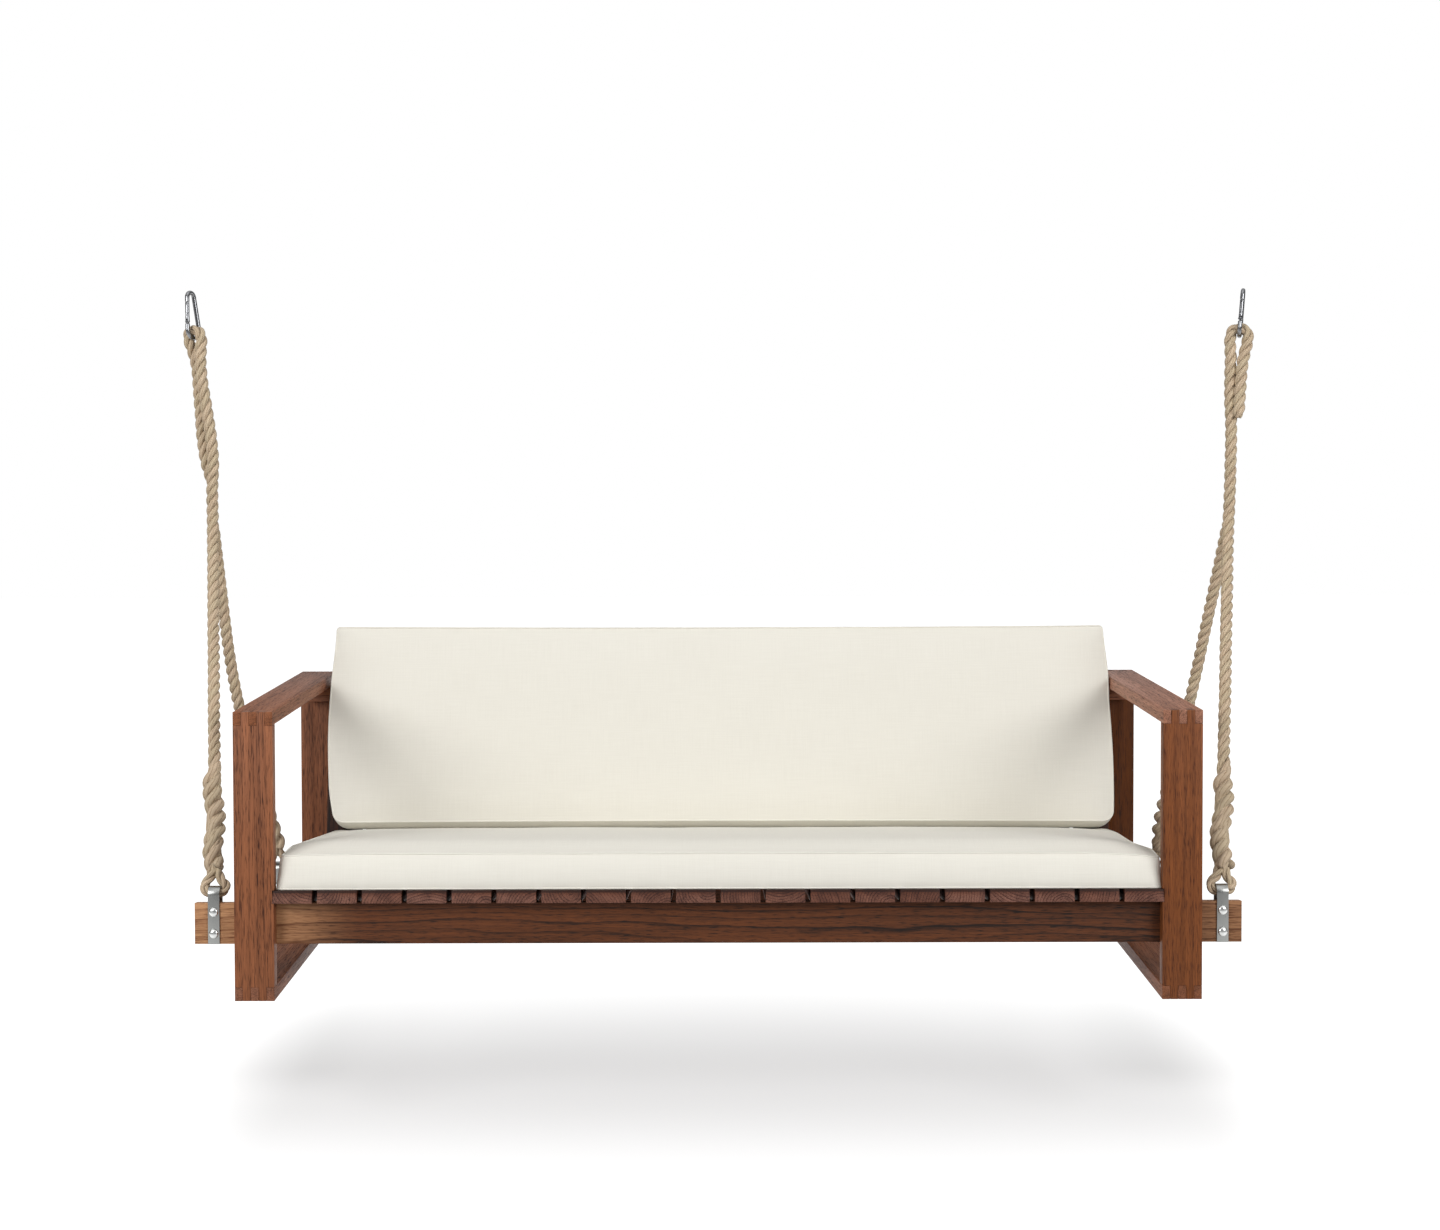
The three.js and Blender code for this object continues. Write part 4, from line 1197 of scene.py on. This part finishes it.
gate_foot_side = on_bow(LARGE_BOW, math.pi - SIDE_TILT)
gate_way = (on_bow(SMALL_BOW, math.pi - SIDE_TILT) - gate_foot_side).normalized()
pivot = gate_foot_side + gate_way * PIVOT_RISE
nose_end = on_bow(SMALL_BOW, math.pi - SIDE_TILT) - gate_way * NOSE_LENGTH
gate_tilt = math.atan2(gate_way.y, gate_way.z)
onto_gate = Matrix.Translation(pivot) @ Matrix.Rotation(-gate_tilt, 4, "X")
GATE_LENGTH = (nose_end - pivot).length - SLOT_CLEARANCE


def hung(side):
    """Where a carabiner hangs: leaned toward its rope and turned about its own length."""
    return (Matrix.Translation((side * HOOK_X, 0, 0))
            @ Matrix.Rotation(side * CARABINER_LEAN, 4, "Y")
            @ Matrix.Rotation(CARABINER_TURN[side], 4, "Z"))


def box_bmesh(width, depth, low_z, high_z):
    half = depth / 2
    return prism([(-half, low_z), (half, low_z), (half, high_z), (-half, high_z)],
                 -width / 2, width / 2)


# %% Wire, gate and rivet
def wire_bmesh():
    """The bent wire, from the nose round both bows to the gate's foot."""
    shoulder = GATE_RADIUS + 2 * SLOT_CLEARANCE
    small = [on_bow(SMALL_BOW, a) for a in np.linspace(math.pi - SIDE_TILT, SIDE_TILT, 25)]
    large = [on_bow(LARGE_BOW, a) for a in np.linspace(SIDE_TILT, -math.pi - SIDE_TILT, 41)]
    chamfer = gate_way * WIRE_CHAMFER
    foot = pivot - gate_way * shoulder
    line = [nose_end, nose_end + chamfer] + small + large + [foot - chamfer, foot]
    radii = np.full(len(line), WIRE_RADIUS)
    radii[[0, -1]] *= END_SHARE
    verts, faces, _ = tube_data(np.array([tuple(p) for p in line]), radii, WIRE_SIDES)
    bm = bmesh.new()
    bm.from_mesh(smooth_mesh("wire", verts, faces))
    bmesh.ops.recalc_face_normals(bm, faces=bm.faces)
    return bm, shoulder


def add_part(bm, part, place):
    """Joins another bmesh to this one, moved into place."""
    bmesh.ops.transform(part, matrix=place, verts=part.verts)
    mesh = bpy.data.meshes.new("part")
    part.to_mesh(mesh)
    part.free()
    bm.from_mesh(mesh)


def tongues(bm, shoulder):
    """The round-ended tongue that the gate turns on, and the short one at the nose."""
    root = -shoulder - TONGUE_ROOT
    outline = [(-TONGUE_RADIUS, root), (TONGUE_RADIUS, root)]
    outline += [(TONGUE_RADIUS * math.cos(a), TONGUE_RADIUS * math.sin(a))
                for a in np.linspace(0, math.pi, 15)]
    pivot_tongue = prism(outline, -TONGUE_THICK / 2, TONGUE_THICK / 2)
    break_edges(pivot_tongue, 0.0003)
    add_part(bm, pivot_tongue, onto_gate)
    thick, wide, long = NOSE_TONGUE
    nose_tongue = box_bmesh(thick, wide, -long, TONGUE_ROOT)
    break_edges(nose_tongue, 0.0005)
    at_nose = Matrix.Translation(nose_end) @ Matrix.Rotation(-gate_tilt, 4, "X")
    add_part(bm, nose_tongue, at_nose)


def cut_mesh(mesh, *cutters):
    """A mesh with others cut from it."""
    obj = linked("blank", mesh)
    tools = [linked("cutter", plain_mesh(cutter, "cutter")) for cutter in cutters]
    for tool in tools:
        cut = obj.modifiers.new("cut", "BOOLEAN")
        cut.object = tool
        cut.operation = "DIFFERENCE"
        cut.solver = "EXACT"
    made = evaluated_mesh(obj)
    for spare in [obj] + tools:
        bpy.data.objects.remove(spare)
    made.set_sharp_from_angle(angle=SMOOTH_ANGLE)
    return made


def gate_mesh():
    """The gate: a rod with a round foot, three grip grooves and a slot at each end."""
    r = GATE_RADIUS
    foot = [(r * math.sin(a), -r * math.cos(a)) for a in np.radians((8, 25, 45, 65, 90))]
    groove = [(1, 0), (0.86, 0.0004), (0.86, 0.0010), (1, 0.0014)]
    body = [(r * share, place + rise) for place in GRIP_GROOVES for share, rise in groove]
    tip = [(r, GATE_LENGTH - WIRE_CHAMFER), (r * END_SHARE, GATE_LENGTH)]
    rod = turned(foot + body + tip, WIRE_SIDES)
    bmesh.ops.transform(rod, matrix=Matrix.Rotation(math.pi / 2, 4, "X"), verts=rod.verts)
    slot = TONGUE_THICK + 2 * SLOT_CLEARANCE
    foot_slot = box_bmesh(slot, 4 * r, -4 * r, SLOT_DEPTH)
    tip_slot = box_bmesh(NOSE_TONGUE[0] + 0.001, 4 * r, GATE_LENGTH - TIP_SLOT_DEPTH,
                         GATE_LENGTH + r)
    return cut_mesh(plain_mesh(rod, "gate"), foot_slot, tip_slot)


def rivet_mesh():
    """A rivet through the gate's foot, with a low head at each end."""
    head = PIN_RADIUS * 1.5
    half = [(head * 0.5, 0.0007), (head * 0.9, 0.0004), (head, 0.0), (PIN_RADIUS, -0.0003)]
    profile = [(radius, -GATE_RADIUS - rise) for radius, rise in half]
    profile += [(radius, GATE_RADIUS + rise) for radius, rise in half[::-1]]
    bm = turned(profile, 16)
    bmesh.ops.transform(bm, matrix=Matrix.Rotation(math.pi / 2, 4, "Z"), verts=bm.verts)
    return plain_mesh(bm, "rivet")


for side, name in SIDES.items():
    place = hung(side)
    bm, shoulder = wire_bmesh()
    tongues(bm, shoulder)
    bmesh.ops.transform(bm, matrix=place, verts=bm.verts)
    shown(plain_mesh(bm, f"carabiner_wire_{name}"), f"carabiner_wire_{name}", wire_steel, "hooks",
          "carabiner_steel", f"carabiner_{name}")
    gate = gate_mesh()
    gate.transform(place @ onto_gate)
    shown(gate, f"gate_{name}_rod", wire_steel, f"gate_{name}", "carabiner_steel",
          f"carabiner_gate_{name}")
    rivet = rivet_mesh()
    rivet.transform(place @ onto_gate)
    shown(rivet, f"gate_rivet_{name}", wire_steel, "hooks", "carabiner_steel",
          f"carabiner_pin_{name}")
    print("carabiner", name, "gate faces", len(gate.polygons))

# %% [markdown]
# ## Canvas
# Both cushions wear the same off-white canvas: a plain weave of slightly uneven threads, so the
# cloth shows faint slubs both ways. The weave follows an attribute on each face's corners that
# lies flat on whichever panel the face belongs to, so the threads run square to the seams.

# %% The weave group
THREAD = 0.0009


def weave_group():
    """Threads over and under each other, slubs both ways and slow patches."""
    group, start, end = new_group(
        "plain_weave",
        [("Cloth", "NodeSocketVector", None), ("Thread", "NodeSocketFloat", THREAD)],
        [("Shade", "NodeSocketFloat"), ("Height", "NodeSocketFloat")])
    cloth = start.outputs["Cloth"]
    per_metre = math_node(group, "DIVIDE", 1.0, start.outputs["Thread"])
    threads = node(group, "ShaderNodeVectorMath", {0: cloth, "Scale": per_metre},
                   operation="SCALE").outputs[0]
    ways = split(group, threads)
    ridges, rows = [], []
    for way in (ways["X"], ways["Y"]):
        wave = math_node(group, "SINE", math_node(group, "MULTIPLY", way, math.pi))
        ridges.append(math_node(group, "ABSOLUTE", wave))
        rows.append(math_node(group, "FLOOR", way))
    parity = math_node(group, "FLOORED_MODULO", math_node(group, "ADD", *rows), 2.0)
    woven = node(group, "ShaderNodeMix", {0: parity, 2: ridges[0], 3: ridges[1]},
                 data_type="FLOAT").outputs[0]
    slubs = [clouds(group, cloth, scale, 3.0) for scale in ((14, 420, 1), (420, 14, 1))]
    slub = math_node(group, "ADD", *slubs)
    patches = clouds(group, cloth, 7.0, 3.0)
    plug(group, end, {"Shade": weighted(group, (slub, 0.42), (patches, 0.2), (woven, 0.1)),
                      "Height": weighted(group, (woven, 0.6), (slub, 0.5))})
    return group


plain_weave = weave_group()


def canvas_material(name, pale, dim):
    material, tree, shader = new_material(name)
    weave = node(tree, "ShaderNodeGroup", {"Cloth": attribute(tree, "cloth", "Vector")},
                 node_tree=plain_weave)
    plug(tree, shader, {
        "Base Color": mix_color(tree, weave.outputs["Shade"], dim, pale),
        "Normal": relief(tree, weave.outputs["Height"], 0.35, 0.0003),
        "Roughness": 0.9, "Specular IOR Level": 0.2, "Sheen Weight": 0.12,
        "Sheen Roughness": 0.5})
    return material


canvas = canvas_material("cushion_canvas", srgb(243, 240, 230), srgb(226, 222, 211))

# %% [markdown]
# ## Cushions
# Each cushion is a foam block in a boxed cover: two panels joined by a strip round the sides, with
# a narrow welt in every seam. A block is drawn on an even grid of squares with tight rounded
# edges, its sides are drawn in a little between the corners, and then a short cloth simulation
# blows it up against its seams, which stay where they are. Only part of that swelling is kept,
# because foam holds a cover flatter than air does. It stays flat where it rests on the slats.

# %% A block on an even grid
GRID = 0.0105
EDGE_GRID = np.array([0, 0.0025, 0.005, 0.0085, 0.014])
SIDE_PULL = (0.002, 0.003)


def spaced(length):
    """Distances from end to end, close together near both ends."""
    last = EDGE_GRID[-1]
    inner = np.linspace(last, length - last, max(2, round((length - 2 * last) / GRID)) + 1)
    return np.concatenate([EDGE_GRID[:-1], inner, length - EDGE_GRID[-2::-1]]) - length / 2


def box_shell(xs, ys, zs):
    """The outer points and squares of a lattice, and the loops of points along its two seams."""
    index, verts, faces = {}, [], []

    def at(i, j, k):
        if (i, j, k) not in index:
            index[i, j, k] = len(verts)
            verts.append((xs[i], ys[j], zs[k]))
        return index[i, j, k]

    nx, ny, nz = len(xs) - 1, len(ys) - 1, len(zs) - 1
    for i in range(nx):
        for j in range(ny):
            faces.append((at(i, j, 0), at(i, j + 1, 0), at(i + 1, j + 1, 0), at(i + 1, j, 0)))
            faces.append((at(i, j, nz), at(i + 1, j, nz), at(i + 1, j + 1, nz), at(i, j + 1, nz)))
    for k in range(nz):
        for i in range(nx):
            faces.append((at(i, 0, k), at(i + 1, 0, k), at(i + 1, 0, k + 1), at(i, 0, k + 1)))
            faces.append((at(i, ny, k), at(i, ny, k + 1), at(i + 1, ny, k + 1), at(i + 1, ny, k)))
        for j in range(ny):
            faces.append((at(0, j, k), at(0, j, k + 1), at(0, j + 1, k + 1), at(0, j + 1, k)))
            faces.append((at(nx, j, k), at(nx, j + 1, k), at(nx, j + 1, k + 1), at(nx, j, k + 1)))
    rim = ([(i, 0) for i in range(nx)] + [(nx, j) for j in range(ny)]
           + [(i, ny) for i in range(nx, 0, -1)] + [(0, j) for j in range(ny, 0, -1)])
    seams = [[at(i, j, k) for i, j in rim] for k in (0, nz)]
    return np.array(verts), faces, seams


def rounded(p, size, corners, edges):
    """Rounds a block's upright corners and then its long edges.

    corners are the radii at the front left, front right, rear left and rear right, and edges those
    of the lower and the upper edge."""
    half = np.array(size) / 2
    r = np.array(corners)[2 * (p[:, 1] > 0) + (p[:, 0] > 0)]
    edge = np.where(p[:, 2] < 0, *edges)
    inner = half[:2] - r[:, None]
    core = np.clip(p[:, :2], -inner, inner)
    out = p[:, :2] - core
    reach = np.abs(out).max(1)
    out = unit(out)
    inset = np.clip(edge - (r - reach), 0, None)
    rise = np.clip(np.abs(p[:, 2]) - (half[2] - edge), 0, None)
    share = np.maximum(inset, rise) / np.maximum(np.hypot(inset, rise), 1e-12)
    reach = np.where(inset > 0, r - edge + inset * share, reach)
    z = np.where(rise > 0, np.sign(p[:, 2]) * (half[2] - edge + rise * share), p[:, 2])
    return np.column_stack([core + out * reach[:, None], z])


def drawn_in(p, size):
    """Draws the sides in between the corners."""
    half = np.array(size) / 2
    p = p.copy()
    bow_x = 1 - (p[:, 1] / half[1]) ** 2
    bow_y = 1 - (p[:, 0] / half[0]) ** 2
    p[:, 0] -= SIDE_PULL[0] * bow_x * p[:, 0] / half[0]
    p[:, 1] -= SIDE_PULL[1] * bow_y * p[:, 1] / half[1]
    return p


# %% The cloth simulation
PRESSURE = 4.0
SIMULATED_FRAMES = 20
CLOTH_SETTINGS = {"use_pressure": True, "uniform_pressure_force": PRESSURE, "quality": 6,
                  "vertex_group_mass": "seams", "tension_stiffness": 25,
                  "compression_stiffness": 25, "bending_stiffness": 0.6}


def swelling(obj, seams):
    """How far each point of a shell moves when it is blown up against its seams."""
    before = points_of(obj.data)
    held = obj.vertex_groups.new(name="seams")
    held.add([i for loop in seams for i in loop], 1.0, "REPLACE")
    cloth = obj.modifiers.new("cloth", "CLOTH")
    for key, value in CLOTH_SETTINGS.items():
        setattr(cloth.settings, key, value)
    cloth.settings.effector_weights.gravity = 0
    cloth.collision_settings.use_collision = False
    cloth.point_cache.frame_start = 1
    cloth.point_cache.frame_end = SIMULATED_FRAMES
    for frame_number in range(1, SIMULATED_FRAMES + 1):
        scene.frame_set(frame_number)
    after = points_of(obj.evaluated_get(bpy.context.evaluated_depsgraph_get()).data)
    obj.modifiers.remove(cloth)
    obj.vertex_groups.remove(held)
    scene.frame_set(1)
    return after - before


# %% Welts and weave
WELT_RADIUS = 0.0019
WELT_SIDES = 8


def welt_part(points):
    """A closed tube round a seam."""
    line = np.asarray(points)
    along = unit(np.roll(line, -1, 0) - np.roll(line, 1, 0))
    outward = unit(np.cross(along, (0.0, 0.0, 1.0)))
    verts = ring_points(line, outward, np.cross(outward, along),
                        np.full(len(line), WELT_RADIUS), WELT_SIDES)
    faces, count = [], len(line)
    for i in range(count):
        for j in range(WELT_SIDES):
            after, k = (i + 1) % count, (j + 1) % WELT_SIDES
            faces.append((i * WELT_SIDES + j, i * WELT_SIDES + k, after * WELT_SIDES + k,
                          after * WELT_SIDES + j))
    return verts, faces


def lay_weave(mesh):
    """Cloth coordinates on each face's corners, flat on the panel that the face belongs to."""
    normals = np.zeros(len(mesh.polygons) * 3, np.float32)
    mesh.polygons.foreach_get("normal", normals)
    totals = np.zeros(len(mesh.polygons), np.int32)
    mesh.polygons.foreach_get("loop_total", totals)
    corner_verts = np.zeros(len(mesh.loops), np.int32)
    mesh.loops.foreach_get("vertex_index", corner_verts)
    axis = np.repeat(np.abs(normals.reshape(-1, 3)).argmax(1), totals)
    p = points_of(mesh)[corner_verts]
    flat = np.select([(axis == 0)[:, None], (axis == 1)[:, None]], [p[:, [1, 2]], p[:, [0, 2]]],
                     p[:, :2])
    store(mesh, "cloth", "FLOAT_VECTOR", "CORNER", np.column_stack([flat, axis * 1.0]))


# %% Make a cushion
CREASE_DEPTH = 0.0009
CREASES = ((5.5, 1.0), (15, 0.45))


def creased(mesh, seed):
    """Slow unevenness of a stuffed cover, a millimetre or so deep."""
    co = points_of(mesh)
    normals = np.zeros(len(co) * 3, np.float32)
    mesh.vertices.foreach_get("normal", normals)
    offset = Vector((seed * 3.7, 0, 0))
    wave = np.array([sum(share * noise.noise(Vector(p) * pace + offset)
                         for pace, share in CREASES) for p in co])
    set_points(mesh, co + CREASE_DEPTH * wave[:, None] * normals.reshape(-1, 3))


def subdivided(obj):
    """The object's mesh after one level of subdivision."""
    surface = obj.modifiers.new("smooth", "SUBSURF")
    surface.levels = surface.render_levels = 1
    made = evaluated_mesh(obj)
    obj.modifiers.remove(surface)
    return made


def make_cushion(name, size, corners, edges, cap, shape, place, seed):
    """A boxed cushion lying on z = 0, puffed, shaped to its neighbours and put in its place."""
    verts, faces, seams = box_shell(*(spaced(length) for length in size))
    verts = drawn_in(rounded(verts, size, corners, edges), size)
    blank = linked(name + "_blank", smooth_mesh(name + "_blank", verts, faces))
    moved = swelling(blank, seams)
    moved = cap * np.tanh(moved / cap)
    verts = shape(verts + moved + (0, 0, size[2] / 2))
    set_points(blank.data, verts)
    blank.data.update()
    mesh = subdivided(blank)
    mesh.name = name + "_cover"
    bpy.data.objects.remove(blank)
    creased(mesh, seed)
    lay_weave(mesh)
    mesh.transform(place)
    cover = shown(mesh, name + "_cover", canvas, "seat", "cushion_canvas", name)
    welts = [welt_part(verts[loop]) for loop in seams]
    count = len(welts[0][0])
    both = [tuple(count * k + i for i in face) for k, (_, part) in enumerate(welts)
            for face in part]
    welt = smooth_mesh(name + "_welts", np.vstack([part for part, _ in welts]), both)
    lay_weave(welt)
    welt.transform(place)
    shown(welt, name + "_welts", canvas, "seat", "cushion_canvas")
    print(name, "points", len(mesh.vertices), "swelled",
          round(float(np.abs(moved).max()) / MM, 1), "mm")


# %% Seat cushion
seat_low, seat_high = corners_in("seat_cushion", deck_turn)
back_low, back_high = corners_in("back_cushion", back_turn)
seat_size = tuple(seat_high - seat_low)
BACK_FOOT = back_high.y - back_low.y
FRONT_REACH = 0.075
FRONT_LIFT = 0.004
FRONT_DROP = 0.013
FRONT_GAP = 0.0015
FRONT_SPREAD = 0.007
OPEN_TOP = (0.012, 0.07)
TOP_ROOM = 0.02
CORNER_DROP = 0.0115
LEFT_CORNER = 0.4
RIGHT_CORNER = (0.52, 0.27)
SIDE_BULGE = {-1: 0.02, 1: 0.006}
SIDE_MOST = {-1: 0.0165, 1: 0.0015}
FRONT_MOST = 0.005
TOP_HELD = 0.45


def shape_seat(p):
    """Flat on the slats and under the back cushion, crowned in front of it.

    The foam is tired at its front edge. It has sunk, most at the corners, and pushes the cover's
    sides and its lower front edge out."""
    half_x, half_y = seat_size[0] / 2, seat_size[1] / 2
    p = p.copy()
    level = np.clip(p[:, 2] / seat_size[2], 0, 1)
    sideways = p[:, 0] / half_x
    behind = p[:, 1] + half_y
    open_top = smoothstep((half_y - BACK_FOOT - OPEN_TOP[0] - p[:, 1]) / OPEN_TOP[1])
    near_front = smoothstep((FRONT_REACH - behind) / FRONT_REACH)
    near_corner = smoothstep((RIGHT_CORNER[0] - behind) / RIGHT_CORNER[1])
    corner = (np.where(p[:, 0] > 0, near_corner, LEFT_CORNER * near_front)
              * np.abs(sideways) ** 12)
    sunk = FRONT_DROP * near_front + CORNER_DROP * corner
    lift = FRONT_LIFT * (1 - sideways ** 4) * open_top * (1 - near_front)
    p[:, 2] = np.clip(p[:, 2] + (lift - sunk) * level, FRONT_GAP * near_front,
                      seat_size[2] + open_top * TOP_ROOM)
    bulge = np.where(p[:, 0] < 0, -SIDE_BULGE[-1], SIDE_BULGE[1])
    p[:, 0] += bulge * near_front * np.abs(sideways) ** 16 * (1 - TOP_HELD * level)
    p[:, 0] = np.clip(p[:, 0], -half_x - SIDE_MOST[-1], half_x + SIDE_MOST[1])
    p[:, 1] -= FRONT_SPREAD * near_front * (1 - level)
    p[:, 1] = np.clip(p[:, 1], -half_y - FRONT_MOST - FRONT_SPREAD, half_y + 0.001)
    return p


middle = (seat_low + seat_high) / 2
seat_place = deck_turn @ Matrix.Translation((middle.x, middle.y, seat_low.z))
make_cushion("seat_cushion", seat_size, (0.012, 0.010, 0.022, 0.022), (0.005, 0.009),
             np.array([0.004, 0.004, 0.010]), shape_seat, seat_place, 1)

# %% Back cushion
back_size = (back_high.x - back_low.x, back_high.z - back_low.z, back_high.y - back_low.y)
TOP_NARROWING = {-1: 0.0075, 1: 0.0125}
TOP_SHARE = (0.7, 0.34)
LOWER_SPREAD = 0.009
LEFT_MOST = 0.009
RIGHT_SPREAD = 0.005
FOOT_PULL = 0.008
FOOT_SHARE = (0.22, 0.2)
FOOT_RISE = 0.013
FOOT_EDGE = 0.16
TOP_MOST = 0.006


def shape_back(p):
    """Flat behind, on the slats, and below.

    Its sides spread a little below the middle and draw in at the top, and its lower front edge is
    drawn up."""
    half_x, half_y = back_size[0] / 2, back_size[1] / 2
    p = p.copy()
    upward = (p[:, 1] + half_y) / back_size[1]
    spread = LOWER_SPREAD * np.sin(math.pi * np.clip(upward * 1.05, 0, 1)) ** 2
    narrow = (np.where(p[:, 0] < 0, TOP_NARROWING[-1], TOP_NARROWING[1])
              * smoothstep((upward - TOP_SHARE[0]) / TOP_SHARE[1]))
    foot = FOOT_PULL * smoothstep((FOOT_SHARE[0] - upward) / FOOT_SHARE[1])
    right = RIGHT_SPREAD * np.sin(math.pi * np.clip(upward * 1.6, 0, 1))
    side = np.clip(np.abs(p[:, 0]) / half_x, 0, 1) ** 4
    p[:, 0] += side * np.where(p[:, 0] < 0, narrow - spread + foot, right - narrow)
    p[:, 0] = np.clip(p[:, 0], -half_x - LEFT_MOST, half_x + 0.0002 + right)
    level = np.clip(p[:, 2] / back_size[2], 0, 1)
    p[:, 1] += FOOT_RISE * level ** 2.5 * smoothstep((FOOT_EDGE - upward) / FOOT_EDGE)
    p[:, 1] = np.clip(p[:, 1], -half_y, half_y + TOP_MOST)
    p[:, 2] = np.clip(p[:, 2], 0, None)
    return p


middle = (back_low + back_high) / 2
back_place = (back_turn @ Matrix.Translation((middle.x, back_high.y, middle.z))
              @ Matrix.Rotation(math.pi / 2, 4, "X"))
make_cushion("back_cushion", back_size, (0.028, 0.026, 0.010, 0.010), (0.008, 0.008),
             np.array([0.003, 0.004, 0.012]), shape_back, back_place, 2)

# %% [markdown]
# ## Floor, backdrop and light
# The swing hangs 29 cm above a white floor. One wide softbox overhead gives part of the broad
# shadow under the swing and the bright cushion tops, and one on each side lights the fronts. The
# rest of that shadow is painted into the floor, which adds less of its own light there. The floor
# and the world add the white that the camera sees, so no lamp has to be turned up for it.

# %% Floor and world
FLOOR_DROP = 0.29
FLOOR_SIZE = 30
FLOOR_COLOR = 0.5
# The painted shadow under the swing: where the floor's own light is lowered, and by how much.
SHADE_MIDDLE = (0.037, -0.2)
SHADE_DEPTH = 0.435
SHADE_X = (0.96, 1.36)
SHADE_Y = (0.0, 1.5)
OPEN_DEPTH = 0.135
OPEN_X = (0.7, 1.0)
OPEN_Y = (-0.2, 0.08)
MIRRORED_Y = (-2.2, -0.9)
MIRRORED_SHARE = (0.2, 1.0)
WORLD_LIGHT = 0.3


def seen_directly(tree, glossy):
    """A factor of 1 on camera and transmission rays, and of a given share on glossy ones."""
    path = tree.nodes.new("ShaderNodeLightPath")
    mirrored = math_node(tree, "MULTIPLY", path.outputs["Is Glossy Ray"], glossy)
    direct = math_node(tree, "MAXIMUM", path.outputs["Is Camera Ray"],
                       path.outputs["Is Transmission Ray"])
    return math_node(tree, "MAXIMUM", direct, mirrored)


def make_floor():
    """A white floor with a painted shadow: it adds less of its own light under the swing,
    most in the open behind.
    """
    half, z = FLOOR_SIZE / 2, rail_z - FLOOR_DROP
    mesh = bpy.data.meshes.new("floor")
    mesh.from_pydata([(-half, -half, z), (half, -half, z), (half, half, z), (-half, half, z)], [],
                     [(0, 1, 2, 3)])
    floor = linked("floor", mesh)
    material, tree, shader = new_material("white_floor")
    x, y, _ = split(tree, own_place(tree))
    beside, before = (math_node(tree, "ABSOLUTE", math_node(tree, "SUBTRACT", value, centre))
                      for value, centre in zip((x, y), SHADE_MIDDLE))
    # Painted shadow: a patch under the swing where the floor gives less of its own light.
    shade = math_node(tree, "MULTIPLY", fade(tree, beside, *SHADE_X, 1.0, 0.0),
                      fade(tree, before, *SHADE_Y, 1.0, 0.0))
    open_shade = math_node(tree, "MULTIPLY", fade(tree, beside, *OPEN_X, 0.0, OPEN_DEPTH),
                           fade(tree, y, *OPEN_Y))
    depth = math_node(tree, "ADD", SHADE_DEPTH, open_shade)
    lift = math_node(tree, "SUBTRACT", 1.0, math_node(tree, "MULTIPLY", shade, depth))
    mirrored = fade(tree, y, *MIRRORED_Y, *MIRRORED_SHARE)
    plug(tree, shader, {
        "Base Color": (FLOOR_COLOR, FLOOR_COLOR, FLOOR_COLOR, 1), "Roughness": 1,
        "Specular IOR Level": 0, "Emission Color": (1, 1, 1, 1),
        "Emission Strength": math_node(tree, "MULTIPLY", seen_directly(tree, mirrored), lift)})
    mesh.materials.append(material)


def make_world():
    """White behind and overhead for mirrored rays, and a plain low light from all round."""
    world = bpy.data.worlds.new("white_room")
    scene.world = world
    world.use_nodes = True
    room = world.node_tree
    axes = split(room, node(room, "ShaderNodeTexCoord").outputs["Generated"])
    bright = math_node(room, "MAXIMUM", fade(room, axes["Y"], 0.9, 0.985),
                       fade(room, axes["Z"], 0.5, 0.9))
    level = fade(room, seen_directly(room, bright), 0.0, 1.0, WORLD_LIGHT, 1.0, "LINEAR")
    plug(room, room.nodes["Background"], {"Strength": level, "Color": (1, 1, 1, 1)})


make_floor()
make_world()

# %% Softboxes
SOFTBOXES = {
    "overhead": {"at": (0, -1.3, 2.0), "size": (4.2, 2.6), "power": 20.3},
    "key_left": {"at": (-2.9, -3.2, 0.7), "size": (1.8, 1.8), "power": 88},
    "key_right": {"at": (2.9, -3.2, 0.7), "size": (1.8, 1.8), "power": 82},
}
AIM = Vector((0, 0, rail_z + 0.35))
for name, box in SOFTBOXES.items():
    lamp_data = bpy.data.lights.new(name, "AREA")
    lamp_data.shape = "RECTANGLE"
    lamp_data.size, lamp_data.size_y = box["size"]
    lamp_data.energy = box["power"]
    lamp = linked(name, lamp_data)
    lamp.location = box["at"]
    lamp.rotation_euler = (AIM - lamp.location).to_track_quat("-Z", "Y").to_euler()
scene.view_settings.view_transform = "Standard"
print("softboxes", len(SOFTBOXES))
